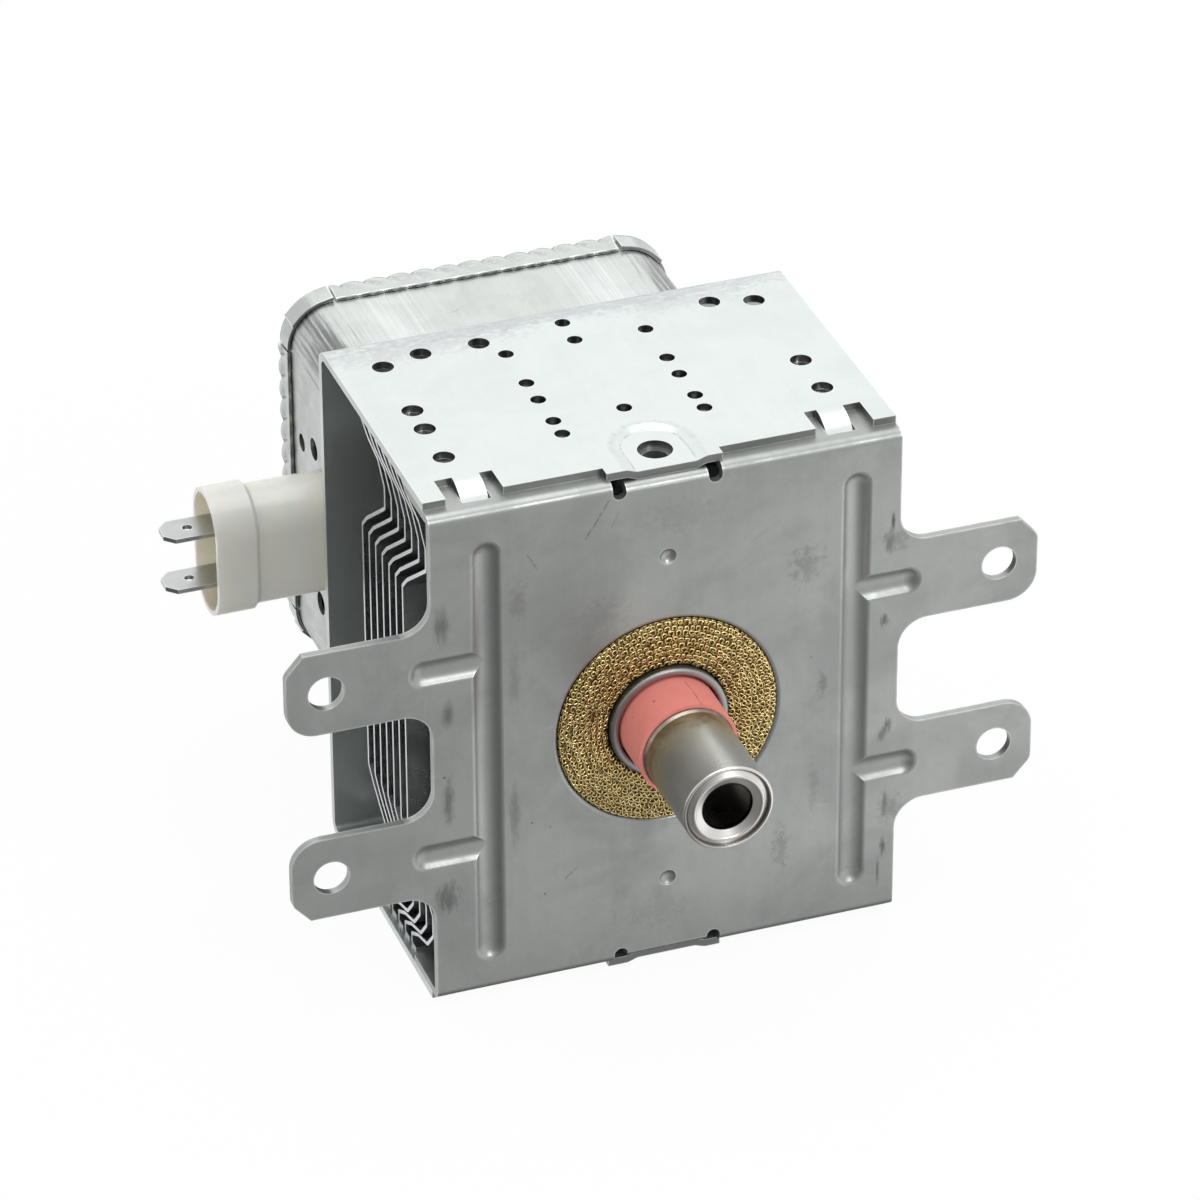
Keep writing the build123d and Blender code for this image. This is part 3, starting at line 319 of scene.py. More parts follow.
class Surface(Graph):
    """The node tree of a new material, with its Principled shader and output."""

    def __init__(self, name: str) -> None:
        """Make the material, under the given name."""
        self.material = bpy.data.materials.new(name)
        super().__init__(Graph.blank(self.material).tree)
        self.shader = self.add("ShaderNodeBsdfPrincipled")
        self.add("ShaderNodeOutputMaterial", {"Surface": self.shader.outputs["BSDF"]})

    def finish(
        self, tint: Feed, rough: Feed, relief: Feed, strength: float, extra: NodeSpec | None = None
    ) -> Material:
        """Feed the shader.

        Args:
            tint: Base colour.
            rough: Roughness.
            relief: Height of the surface's fine grain, as a share of GRAIN_HEIGHT.
            strength: Strength of that grain.
            extra: The shader's other inputs.

        Returns:
            The finished material.
        """
        grain = {"Strength": strength, "Distance": GRAIN_HEIGHT, "Height": relief}
        normal = self.add("ShaderNodeBump", grain).outputs[0]
        base = {"Base Color": tint, "Roughness": rough, "Normal": normal}
        self.feed(self.shader, {**base, **(extra or {})})
        return self.material


# Marks


@dataclass(frozen=True)
class Mark:
    """One dark or bright mark on a sheet.

    Attributes:
        centre: Middle of the mark.
        reach: Half sizes of the mark along X, Y and Z.
        strength: How much of the mark's colour shows.
        ragged: How broken its outline is.
        tone: Colour of the mark.
        grain: Fineness of its breaks along X, Y and Z.
    """

    centre: Point
    reach: Point
    strength: float
    ragged: float
    tone: Colour
    grain: Point = grey(900.0)

    def over(self, graph: Graph, tint: Feed) -> Socket:
        """Lay this mark over a colour and return the result."""
        spot = graph.effect(
            Effects.rub_mark, Centre=self.centre, Reach=self.reach,
            Ragged=self.ragged, Grain=self.grain,
        )
        return graph.cover(tint, spot, self.strength, self.tone)


@dataclass(frozen=True)
class Hairline:
    """One thin scratch or pencil-like line on a surface.

    Attributes:
        start: Where the line starts.
        end: Where it ends.
        width: Half of its width.
        strength: How much of its tone shows.
        tone: Colour of the line.
    """

    start: Point
    end: Point
    width: float
    strength: float
    tone: Colour

    def over(self, graph: Graph, tint: Feed) -> Socket:
        """Lay this line over a colour and return the result."""
        run = tuple(b - a for a, b in zip(self.start, self.end))
        line = graph.effect(Effects.hairline, Start=self.start, Run=run, Width=self.width)
        return graph.cover(tint, line, self.strength, self.tone)


@dataclass(frozen=True)
class CutFaces:
    """Bare steel on the yoke's cut faces, with painted shade on the cut faces of the holes further
    back.
    """

    tone: Colour = (0.205, 0.21, 0.205)
    hole_shade_share: float = 0.5
    leg_z: float = 45.2 * MM
    side_x: float = 40.0 * MM
    holes_from: float = 11.5 * MM
    holes_to: float = 53.0 * MM

    def over(self, graph: Graph, tint: Feed) -> Socket:
        """Lay the cut faces over a colour and return the result."""
        facing = graph.split(graph.add("ShaderNodeNewGeometry").outputs["True Normal"])
        place = graph.split(graph.place())
        upright = graph.remap(graph.calc("ABSOLUTE", facing["Z"]), low=0.5, high=0.2)
        in_leg = graph.calc("GREATER_THAN", graph.calc("ABSOLUTE", place["Z"]), self.leg_z)
        inner = graph.calc("LESS_THAN", graph.calc("ABSOLUTE", place["X"]), self.side_x)
        ahead = graph.calc("MAXIMUM", inner, graph.remap(facing["Y"], low=-0.7, high=-0.95))
        before = graph.calc("LESS_THAN", place["Y"], self.holes_to)
        behind = graph.calc("GREATER_THAN", place["Y"], self.holes_from)
        # Between holes_from and holes_to the cut faces take a darker share of the tone: painted
        # shade in the holes.
        bare = graph.blend(behind, self.tone, darker(self.tone, self.hole_shade_share))
        return graph.blend(graph.product(upright, in_leg, ahead, before), tint, bare)


Marks = tuple[Union[Mark, Hairline, CutFaces], ...]


def lay(marks: Marks, graph: Graph, tint: Feed) -> Feed:
    """Lay marks over a colour, one after the other."""
    for mark in marks:
        tint = mark.over(graph, tint)
    return tint


# Finishes


class Finish:
    """A surface treatment of one or more pieces."""

    def material(self) -> Material:
        """Build the finish's material."""
        raise NotImplementedError


@dataclass(frozen=True)
class SheetMetal(Finish):
    """Plated or bare sheet metal with streaks, blotches, marks and bright edges that are partly
    wear and partly painted highlight.
    """

    name: str
    colour: Colour
    blotch_colour: Colour
    edge_colour: Colour
    rolling: Axis = Axis.X
    metallic: float = 0.85
    roughness: float = 0.4
    streak_contrast: float = 1.4
    streak_share: float = 0.25
    blotch_scale: float = 55.0
    blotch_share: float = 0.35
    edge_width: float = 0.5 * MM
    edge_share: float = 0.7
    edge_breakup: float = 0.45
    marks: Marks = ()
    shade: Marks = ()

    def material(self) -> Material:
        """Build the sheet's material."""
        graph = Surface(self.name)
        stretch = self.rolling.stretch(along=70.0, across=3800.0)
        streak = graph.effect(Effects.streaks, Stretch=stretch, Contrast=self.streak_contrast)
        blotch = graph.effect(Effects.clouds, Scale=self.blotch_scale, Low=0.38, High=0.68)
        mottle = graph.effect(Effects.clouds, Scale=9.0 * self.blotch_scale, Low=0.3, High=0.75)
        edge = graph.effect(Effects.edge_wear_and_highlight, Width=self.edge_width, Breakup=self.edge_breakup)
        scratch = graph.effect(Effects.scratches, Scale=75.0, Amount=0.08)

        tint = graph.cover(self.colour, blotch, self.blotch_share, self.blotch_colour)
        tint = graph.cover(tint, mottle, 0.5 * self.blotch_share, self.blotch_colour)
        tint = graph.cover(tint, streak, self.streak_share, darker(self.colour, 0.72))
        tint = lay(self.marks, graph, tint)
        tint = graph.blend(scratch, tint, self.edge_colour)
        # Edge colour over the edge mask: partly wear, partly a painted highlight along the rims.
        tint = graph.cover(tint, edge, self.edge_share, self.edge_colour)
        tint = lay(self.shade, graph, tint)

        swing = graph.calc("SUBTRACT", graph.calc("ADD", streak, blotch), 1.0)
        rough = graph.calc("MULTIPLY_ADD", swing, 0.12, self.roughness, clamp=True)
        relief = graph.calc("MULTIPLY_ADD", mottle, 0.6, streak)
        return graph.finish(tint, rough, relief, 0.5, {"Metallic": self.metallic})


@dataclass(frozen=True)
class Plastic(Finish):
    """Moulded plastic with a soft skin and faint flow marks."""

    name: str
    colour: Colour
    flow_colour: Colour
    roughness: float = 0.22

    def material(self) -> Material:
        """Build the plastic's material."""
        graph = Surface(self.name)
        flow = graph.effect(Effects.clouds, Scale=45.0, Low=0.3, High=0.75)
        tint = graph.cover(self.colour, flow, 0.06, self.flow_colour)
        rough = graph.calc("MULTIPLY_ADD", flow, 0.03, self.roughness)
        skin = graph.noise(graph.place(), scale=2600.0, detail=3.0, roughness=0.6)
        return graph.finish(tint, rough, skin, 0.35, {
            "Subsurface Weight": 0.7, "Subsurface Radius": (1.0, 0.8, 0.5),
            "Subsurface Scale": 4.0 * MM, "Coat Weight": 0.25, "Coat Roughness": 0.12,
        })


@dataclass(frozen=True)
class Ceramic(Finish):
    """Fired ceramic with a fine tooth, faint clouds and sparse dark specks."""

    name: str
    colour: Colour
    cloud_colour: Colour
    roughness: float = 0.5
    marks: Marks = ()
    speck_colour: Colour = (0.25, 0.08, 0.07)

    def material(self) -> Material:
        """Build the ceramic's material."""
        graph = Surface(self.name)
        place = graph.place()
        cloud = graph.effect(Effects.clouds, Scale=160.0, Low=0.3, High=0.75)
        grains = graph.noise(place, scale=1500.0, detail=1.0, roughness=0.4)
        tint = graph.cover(self.colour, cloud, 0.5, self.cloud_colour)
        tint = graph.cover(tint, graph.remap(grains, low=0.74, high=0.8), 0.5, self.speck_colour)
        tint = lay(self.marks, graph, tint)
        rough = graph.calc("MULTIPLY_ADD", cloud, 0.12, self.roughness)
        tooth = graph.noise(place, scale=5200.0, detail=3.0, roughness=0.6)
        return graph.finish(tint, rough, tooth, 0.4)


@dataclass(frozen=True)
class Wire(Finish):
    """Bright drawn wire whose tone drifts along it."""

    name: str
    colour: Colour
    tarnish: Colour
    roughness: float

    def _wear(self, graph: Graph, drift: Socket, drawn: Socket) -> tuple[Socket, Socket]:
        """Return the share of tarnish and the roughness."""
        return graph.product(drift, 0.6), graph.calc("MULTIPLY_ADD", drawn, 0.15, self.roughness)

    def material(self) -> Material:
        """Build the wire's material."""
        graph = Surface(self.name)
        drift = graph.effect(Effects.clouds, Scale=420.0, Low=0.35, High=0.7)
        drawn = graph.noise(graph.place(), scale=3600.0, detail=2.0, roughness=0.5)
        tarnish_and_shade, rough = self._wear(graph, drift, drawn)
        tint = graph.blend(tarnish_and_shade, self.colour, self.tarnish)
        return graph.finish(tint, rough, drawn, 0.4, BARE_METAL)


@dataclass(frozen=True)
class KnitWire(Wire):
    """Wire of a pressed ring, bright on the crests and darker in the hollows, by tarnish and by
    painted shade that grows with the depth.

    Attributes:
        middle: Radius at which the ring's crown is highest.
        half: Half of the ring's radial width.
        edge_y: Y of the ring's front at its edges.
        crown: How far the middle stands before the edges.
        bright_depth: Depth at which the painted shade starts.
        dark_depth: Depth at which it is full.
    """

    middle: float
    half: float
    edge_y: float
    crown: float
    bright_depth: float = 0.12 * MM
    dark_depth: float = 0.7 * MM

    def _wear(self, graph: Graph, drift: Socket, drawn: Socket) -> tuple[Socket, Socket]:
        """Return the share of tarnish colour, which is tarnish plus painted shade growing with the
        depth, and the roughness.
        """
        place = graph.place()
        off = graph.calc("SUBTRACT", graph.axis_radius(place), self.middle)
        share = graph.calc("DIVIDE", off, self.half)
        bulge = graph.calc("SUBTRACT", 1.0, graph.product(share, share))
        front = graph.calc("MULTIPLY_ADD", bulge, -self.crown, self.edge_y)
        depth = graph.calc("SUBTRACT", graph.split(place)["Y"], front)
        # Painted shade: the deeper the wire lies behind the ring's front, the darker it is.
        sunk_shade = graph.remap(depth, self.bright_depth, self.dark_depth)
        tarnish_and_shade = graph.calc("MULTIPLY_ADD", drift, 0.3, graph.product(sunk_shade, 0.92), clamp=True)
        return tarnish_and_shade, graph.calc("MULTIPLY_ADD", tarnish_and_shade, 0.25, self.roughness)


@dataclass(frozen=True)
class DrawnCap(Finish):
    """Stainless cap, brushed round its axis, with a heat tint near its foot and painted shade in
    its end groove and bore.
    """

    name: str = "cap_steel"
    colour: Colour = (0.70, 0.685, 0.655)
    heat_colour: Colour = (0.19, 0.15, 0.09)
    edge_colour: Colour = (0.85, 0.84, 0.82)
    groove_shade: Colour = (0.06, 0.055, 0.05)
    bore_shade: Colour = (0.012, 0.011, 0.010)
    foot_y: float = -9.7 * MM
    tint_run: float = 7.0 * MM
    bore_radius: float = 7.1 * MM
    bore_y: float = -27.2 * MM
    groove_radius: float = 6.95 * MM
    end_y: float = -27.0 * MM
    roughness: float = 0.24

    def material(self) -> Material:
        """Build the cap's material."""
        graph = Surface(self.name)
        place = graph.place()
        y = graph.split(place)["Y"]
        radius = graph.axis_radius(place)
        cloud = graph.effect(Effects.clouds, Scale=220.0, Low=0.3, High=0.72)
        stretch = Axis.Y.stretch(along=5200.0, across=260.0)
        turned = graph.effect(Effects.streaks, Stretch=stretch, Contrast=1.3)
        edge = graph.effect(Effects.edge_wear_and_highlight, Width=0.3 * MM, Breakup=0.2)
        ragged = graph.calc("MULTIPLY_ADD", graph.calc("SUBTRACT", cloud, 0.5), 4.0 * MM, y)
        heat = graph.remap(ragged, self.foot_y - self.tint_run, self.foot_y)
        tint = graph.cover(self.colour, heat, 0.85, self.heat_colour)
        tint = graph.cover(tint, turned, 0.2, darker(self.colour, 0.7))
        # The bright rim is a painted highlight.
        tint = graph.cover(tint, edge, 0.5, self.edge_colour)

        # Painted shade: a dark ring in the groove on the cap's end.
        off = graph.calc("ABSOLUTE", graph.calc("SUBTRACT", radius, self.groove_radius))
        in_groove = graph.remap(off, low=0.3 * MM, high=0.1 * MM)
        in_groove = graph.product(in_groove, graph.calc("LESS_THAN", y, self.end_y))
        tint = graph.cover(tint, in_groove, 0.65, self.groove_shade)
        # Painted shade: the bore inside the cap is painted nearly black.
        within = graph.calc("LESS_THAN", radius, self.bore_radius)
        behind = graph.calc("GREATER_THAN", y, self.bore_y)
        tint = graph.blend(graph.product(within, behind), tint, self.bore_shade)

        both = graph.calc("ADD", turned, cloud)
        rough = graph.calc("MULTIPLY_ADD", both, 0.07, self.roughness)
        return graph.finish(tint, rough, turned, 0.35, BARE_METAL)


def coat(finish: Finish, *nodes: str) -> None:
    """Give CAD nodes a finish, in their objects' own slots."""
    material = finish.material()
    for name in nodes:
        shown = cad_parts[name]
        if not shown.material_slots:
            shown.data.materials.append(material)
        for slot in shown.material_slots:
            slot.link = "OBJECT"
            slot.material = material
    LOG.info("dressed %d nodes in %s", len(nodes), material.name)


# Mesh tools


def mesh_object(
    name: str, points: np.ndarray, faces: Sequence[Face], material: Material, smooth: bool = True
) -> bpy.types.Object:
    """Make an object from points and faces.

    Args:
        name: Name of the piece.
        points: Vertex places, one row each.
        faces: Vertex numbers of each face.
        material: The piece's material.
        smooth: Whether its faces are shaded smooth.

    Returns:
        The new object, linked to the scene.
    """
    mesh = bpy.data.meshes.new(name)
    mesh.from_pydata([tuple(p) for p in points], [], faces)
    mesh.polygons.foreach_set("use_smooth", [smooth] * len(mesh.polygons))
    mesh.materials.append(material)
    mesh.update()
    piece = bpy.data.objects.new(name, mesh)
    bpy.context.scene.collection.objects.link(piece)
    return piece


def ring_faces(base: int, rings: int, size: int, closed: bool) -> list[Face]:
    """Return the faces between rings of points.

    Args:
        base: Number of the first ring's first point.
        rings: Number of rings, whose points follow each other.
        size: Number of points in each ring.
        closed: Whether the last ring joins the first one.

    Returns:
        Four-sided faces, ring by ring.
    """
    faces = []
    for ring in range(rings if closed else rings - 1):
        first, second = base + ring * size, base + (ring + 1) % rings * size
        for k in range(size):
            m = (k + 1) % size
            faces.append((first + k, second + k, second + m, first + m))
    return faces


def wires(paths: Sequence[np.ndarray], radius: float, sides: int) -> tuple[np.ndarray, list[Face]]:
    """Sweep a round wire along smooth closed paths.

    Args:
        paths: Points of each path.
        radius: Radius of the wire.
        sides: Number of flats round the wire.

    Returns:
        The vertices of all wires and their faces.
    """
    steep = 0.97
    turn = np.linspace(0, 2 * math.pi, sides, endpoint=False)
    across, upward = np.cos(turn)[None, :, None], np.sin(turn)[None, :, None]
    points: list[np.ndarray] = []
    faces: list[Face] = []
    base = 0
    for path in paths:
        along = np.roll(path, -1, axis=0) - np.roll(path, 1, axis=0)
        along /= np.linalg.norm(along, axis=1)[:, None]
        guide = np.where(np.abs(along[:, 1:2]) > steep, (1.0, 0.0, 0.0), (0.0, 1.0, 0.0))
        side = np.cross(along, guide)
        side /= np.linalg.norm(side, axis=1)[:, None]
        up = np.cross(side, along)
        rings = path[:, None, :] + radius * (across * side[:, None, :] + upward * up[:, None, :])
        points.append(rings.reshape(-1, 3))
        faces += [(a, d, c, b) for a, b, c, d in ring_faces(base, len(path), sides, closed=True)]
        base += len(path) * sides
    return np.vstack(points), faces


# Sub-assemblies


class SubAssembly:
    """Pieces that are built and dressed together."""

    def build(self) -> None:
        """Add the pieces that the CAD model lacks, if there are any."""

    def dress(self) -> None:
        """Give the CAD pieces their finishes, where they are shown."""


@dataclass
class SteelShell(SubAssembly):
    """The bent yoke and the mounting plate, both zinc plated.

    The places here and in the tables of marks are in millimetres.
    """

    rub_grain: Point = (1500.0, 900.0, 420.0)
    rub_tone: Colour = (0.095, 0.092, 0.092)
    scratch_tone: Colour = grey(0.09)
    speck_tone: Colour = grey(0.05)
    leg_z: float = 47.2
    crease_drop: float = 0.6
    seat_centre: tuple[float, float] = (0.4, 8.1)
    seat_front: float = 2.2
    seat_steps: int = 8

    def _bend_marks(self) -> list[Mark]:
        """Return the mottled bands on the yoke's upper rear bend."""
        bands = (
            (0.0, 52.8, 70.0, 2.8, 0.5, 1.1, (0.33, 0.335, 0.365), (700.0, 1900.0, 900.0)),
            (-25.0, 50.0, 22.0, 3.6, 0.32, 1.5, (0.33, 0.335, 0.355), (900.0, 1500.0, 900.0)),
            (20.0, 50.0, 18.0, 3.0, 0.26, 1.5, (0.33, 0.335, 0.355), (900.0, 1500.0, 900.0)),
        )
        return [
            Mark(mm(x, y, self.leg_z), mm(half_x, half_y, 3.0), share, ragged, tone, grain)
            for x, y, half_x, half_y, share, ragged, tone, grain in bands
        ]

    def _seat_shade_lines(
        self, radius: float, z: float, half: float, share: float, tone: Colour
    ) -> list[Hairline]:
        """Return lines of painted shade along the U of the upper screw seat, from millimetres."""
        (x, y), front = self.seat_centre, self.seat_front
        turns = (math.pi * step / self.seat_steps for step in range(self.seat_steps + 1))
        round_run = [(x + radius * math.cos(a), y + radius * math.sin(a)) for a in turns]
        path = [(x + radius, front), *round_run, (x - radius, front)]
        return [
            Hairline(mm(*start, z), mm(*end, z), half * MM, share, tone)
            for start, end in zip(path, path[1:])
        ]

    @staticmethod
    def _plate_mark(
        x: float, z: float, half_x: float, half_z: float, share: float, ragged: float,
        tone: Colour, grain: Point = grey(900.0), depth: float = 4.0,
    ) -> Mark:
        """Return a mark on the plate's face, from places and sizes in millimetres."""
        return Mark(mm(x, 0.0, z), mm(half_x, depth, half_z), share, ragged, tone, grain)

    def _plate_marks(self) -> Marks:
        """Return the rubbed patches, clouds, scratches and specks on the plate's face; the cloud
        up and left of the gasket is painted shade.
        """
        rubs = (
            (-38.2, 25.8, 1.9, 4.6, 0.60, 0.5), (-37.4, 9.1, 1.4, 3.5, 0.60, 0.4),
            (-37.5, -7.5, 1.3, 5.8, 0.60, 0.5), (-38.0, -25.9, 2.5, 4.1, 0.60, 0.7),
            (-26.3, -12.5, 1.4, 7.4, 0.42, 0.5), (-26.1, 13.6, 1.4, 8.0, 0.25, 0.7),
            (38.7, 29.2, 0.5, 2.6, 0.90, 0.4), (38.2, 25.6, 1.2, 2.9, 0.55, 0.9),
            (37.5, 10.9, 1.0, 1.7, 0.75, 0.8), (38.4, -9.6, 0.9, 1.9, 0.75, 0.8),
            (37.3, -11.3, 1.1, 1.9, 0.55, 0.8), (38.1, -25.0, 0.7, 3.4, 0.60, 0.8),
            (38.0, -33.6, 0.6, 2.2, 0.80, 0.8), (37.2, -38.4, 0.35, 3.4, 0.60, 0.6),
        )
        clouds = (
            (-25.4, 27.5, 2.2, 4.6, 0.38, 0.8, (0.20, 0.17, 0.165)),
            # Painted shade: the soft dark patch up and left of the gasket.
            (-11.5, 21.5, 6.5, 5.0, 0.22, 0.9, grey(0.14)),
            (23.8, 24.2, 3.6, 4.4, 0.34, 1.3, grey(0.12)),
            (26.8, 1.0, 1.1, 3.2, 0.36, 1.0, grey(0.12)),
            (19.8, -29.2, 1.8, 5.6, 0.34, 1.2, grey(0.12)),
            (25.5, -19.0, 1.2, 6.0, 0.24, 1.1, grey(0.13)),
            (-2.0, -37.0, 9.0, 4.0, 0.16, 1.2, grey(0.14)),
            (3.0, 38.0, 9.0, 3.5, 0.14, 1.2, grey(0.14)),
            (39.6, 25.8, 3.4, 2.8, 0.40, 1.1, grey(0.17)),
            (39.6, -26.0, 2.9, 3.6, 0.42, 1.2, grey(0.15)),
            (0.0, 0.0, 27.0, 27.0, 0.10, 0.5, (0.20, 0.21, 0.20)),
        )
        scratches = (
            (-10.0, 43.1, -13.9, 36.9, 0.22, 0.70), (-23.6, 36.0, -22.3, 33.2, 0.20, 0.55),
            (-15.7, -25.3, -17.8, -26.8, 0.20, 0.65), (-8.2, 40.6, -9.6, 38.0, 0.16, 0.35),
            (14.0, 30.5, 19.5, 33.8, 0.14, 0.25),
        )
        specks = (
            (-21.3, -29.1, 0.30), (-23.4, -14.7, 0.24), (-20.3, -16.2, 0.24),
            (-38.2, -2.7, 0.35), (13.0, 9.5, 0.24), (24.8, 6.5, 0.22),
        )
        return (
            *(self._plate_mark(*rub, self.rub_tone, self.rub_grain) for rub in rubs),
            *(self._plate_mark(*cloud) for cloud in clouds),
            *(
                Hairline(mm(ax, 0.0, az), mm(bx, 0.0, bz), half * MM, share, self.scratch_tone)
                for ax, az, bx, bz, half, share in scratches
            ),
            *(
                self._plate_mark(x, z, size, size, 0.8, 0.3, self.speck_tone, depth=2.0)
                for x, z, size in specks
            ),
        )

    def dress(self) -> None:
        """Give both sheets their zinc, darker on the plate as painted shade and lighter on the
        yoke as painted light.
        """
        # The plate and the yoke carry the same zinc; the plate's darker tone is painted shade and
        # the yoke's lighter tone is painted light.
        plate = SheetMetal(
            "zinc_plate_painted_shade", (0.38, 0.395, 0.382), (0.27, 0.285, 0.275), (0.8, 0.82, 0.8),
            rolling=Axis.Z, roughness=0.42, streak_share=0.12, marks=self._plate_marks(),
        )
        # Painted shade: a wide grey line on the seat's slope and a thin dark line in the crease at
        # the foot of the recess.
        seat_slope_shade = self._seat_shade_lines(6.8, self.leg_z, 0.8, 0.3, (0.40, 0.41, 0.41))
        crease_z = self.leg_z - self.crease_drop
        seat_crease_shade = self._seat_shade_lines(5.25, crease_z, 0.17, 0.7, (0.16, 0.165, 0.165))
        yoke = SheetMetal(
            "zinc_yoke_painted_light", (0.61, 0.65, 0.635), (0.54, 0.575, 0.56), (0.85, 0.87, 0.86),
            rolling=Axis.Y, roughness=0.36, streak_share=0.15,
            edge_width=0.3 * MM, edge_share=0.75, edge_breakup=0.15,
            marks=(*self._bend_marks(), *seat_slope_shade, *seat_crease_shade, CutFaces()),
        )
        coat(plate, "mounting_plate")
        coat(yoke, "yoke_frame")


@dataclass
class KnittedGasket(SubAssembly):
    """Knitted brass wire, pressed to a crowned ring in the plate's recess.

    Each of loop, seat, sway and phase is a mean and its scatter between stitches. Loop and
    seat are a loop's reach and start in rows' pitches, sway is its lean in stitches.
    """

    inner_radius: float = 10.25 * MM
    outer_radius: float = 18.7 * MM
    edge_y: float = -0.3 * MM
    crown: float = 0.5 * MM
    back_y: float = 2.15 * MM
    rows: int = 8
    stitch: float = 1.15 * MM
    wire_radius: float = 0.135 * MM
    heave: float = 0.5 * MM
    loop: tuple[float, float] = (0.95, 0.15)
    seat: tuple[float, float] = (-0.48, 0.1)
    sway: tuple[float, float] = (0.30, 0.08)
    slip: float = 0.2
    crest: float = 0.6
    phase: tuple[float, float] = (0.6, 0.5)
    fuzz: float = 0.05 * MM
    sides: int = 5
    points_per_stitch: int = 10
    under_sink: float = 0.24 * MM
    under_shift: float = 0.42
    core_depth: float = 0.6 * MM
    core_inset: float = 0.1 * MM
    core_steps: int = 12
    core_turns: int = 160
    seed: int = 7

    @property
    def middle(self) -> float:
        """Radius of the ring's crown."""
        return (self.inner_radius + self.outer_radius) / 2

    @property
    def half(self) -> float:
        """Half of the ring's radial width."""
        return (self.outer_radius - self.inner_radius) / 2

    def _front(self, radius: float) -> float:
        """Return the Y of the pressed ring's crowned front at a radius."""
        return self.edge_y - self.crown * (1 - ((radius - self.middle) / self.half) ** 2)

    def _row(
        self, radius: float, rise: float, sink: float, draw: np.random.Generator
    ) -> np.ndarray:
        """Return the closed path of one knitted row.

        Args:
            radius: Mean radius of the row.
            rise: Radial pitch of the rows.
            sink: How far the row lies behind the ring's front.
            draw: Source of the small differences between stitches.

        Returns:
            Points of the row, in order.
        """
        count = int(round(2 * math.pi * radius / self.stitch))
        pitch = 2 * math.pi / count
        start = draw.uniform(0, pitch)
        jitter = draw.normal(0, 1, (count, 5))
        nearest = self.inner_radius + self.wire_radius
        farthest = self.outer_radius + 0.7 * sink - self.wire_radius
        points = []
        for index in range(count):
            for step in range(self.points_per_stitch):
                part = step / self.points_per_stitch
                mixed = (1 - part) * jitter[index] + part * jitter[(index + 1) % count]
                slip, reach_drift, seat_drift, phase_drift, sway_drift = mixed
                t = 2 * math.pi * part
                # A knitted loop leans back on itself, so its side runs both ways
                swing = 0.5 - 0.5 * math.cos(t)
                sway = (self.sway[0] + self.sway[1] * sway_drift) * math.sin(2 * t)
                angle = start + pitch * (index + part + sway + self.slip * slip)
                span = (self.loop[0] + self.loop[1] * reach_drift) * swing
                reach = radius + rise * (span + self.seat[0] + self.seat[1] * seat_drift)
                reach = min(max(reach, nearest), farthest)
                wave = 2 * t + self.phase[0] + self.phase[1] * phase_drift
                lift = self.crest * (1 - swing) + (1 - self.crest) * (0.5 + 0.5 * math.cos(wave))
                depth = self.wire_radius + sink + self.heave * lift + self.fuzz * abs(seat_drift)
                y = self._front(reach) + depth
                points.append((reach * math.cos(angle), y, reach * math.sin(angle)))
        return np.array(points)

    def _knit(
        self, name: str, sink: float, shift: float, draw: np.random.Generator, wire: Material
    ) -> bpy.types.Object:
        """Knit one layer of rows.

        Args:
            name: Name of the piece.
            sink: How far the layer lies behind the ring's front.
            shift: Part of a row's pitch by which the rows move outward.
            draw: Source of the small differences between stitches.
            wire: Material of the wire.

        Returns:
            The layer's object.
        """
        rise = (self.outer_radius - self.inner_radius) / self.rows
        rows = [
            self._row(self.inner_radius + rise * (row + 0.5 + shift), rise, sink, draw)
            for row in range(self.rows)
        ]
        points, faces = wires(rows, self.wire_radius, self.sides)
        layer = mesh_object(name, points, faces, wire)
        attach(layer, "root")
        LOG.info("knitted %s: %d rows, %d faces", name, self.rows, len(faces))
        return layer

    def _core(self) -> bpy.types.Object:
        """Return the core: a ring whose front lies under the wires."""
        inner, outer = self.inner_radius + self.core_inset, self.outer_radius - self.core_inset
        front = []
        for step in range(self.core_steps + 1):
            radius = inner + (outer - inner) * step / self.core_steps
            front.append((radius, self._front(radius) + self.core_depth))
        section = [(inner, self.back_y), *front, (outer, self.back_y)]
        points = [
            (radius * math.cos(angle), y, radius * math.sin(angle))
            for angle in np.linspace(0, 2 * math.pi, self.core_turns, endpoint=False)
            for radius, y in section
        ]
        # The core stands for the deeper packed wire; its dark brass tone is painted shade.
        packed = SheetMetal(
            "brass_core_painted_shade", (0.24, 0.16, 0.055), (0.10, 0.065, 0.02), (0.2, 0.15, 0.05),
            metallic=1.0, roughness=0.5, blotch_scale=900.0, blotch_share=0.9,
        )
        faces = ring_faces(0, self.core_turns, len(section), closed=True)
        core = mesh_object("gasket_core", np.array(points), faces, packed.material())
        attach(core, "root")
        LOG.info("pressed %s: %d faces", core.name, len(faces))
        return core

    def build(self) -> None:
        """Knit two layers of rows and press a packed core behind them."""
        draw = np.random.default_rng(self.seed)
        wire = KnitWire(
            "brass_wire", (1.0, 0.83, 0.42), (0.30, 0.19, 0.055), roughness=0.14,
            middle=self.middle, half=self.half, edge_y=self.edge_y, crown=self.crown,
        ).material()
        upper = self._knit("gasket_knit", 0.0, 0.0, draw, wire)
        lower = self._knit("gasket_underknit", self.under_sink, self.under_shift, draw, wire)
        core = self._core()
        for piece in (upper, lower, core):
            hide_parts("rf_gasket")


@dataclass
class FinStack(SubAssembly):
    """Seven folded aluminium fins on the anode."""

    count: int = 7

    def dress(self) -> None:
        """Give the fins their aluminium."""
        # The fins' unbroken bright edges are a painted highlight.
        fins = SheetMetal(
            "fin_aluminium", (0.66, 0.68, 0.69), (0.5, 0.52, 0.53), (0.93, 0.94, 0.95),
            metallic=1.0, roughness=0.3, edge_width=0.2 * MM, edge_share=0.9, edge_breakup=0.0,
        )
        coat(fins, *(f"cooling_fin_{index + 1}" for index in range(self.count)))


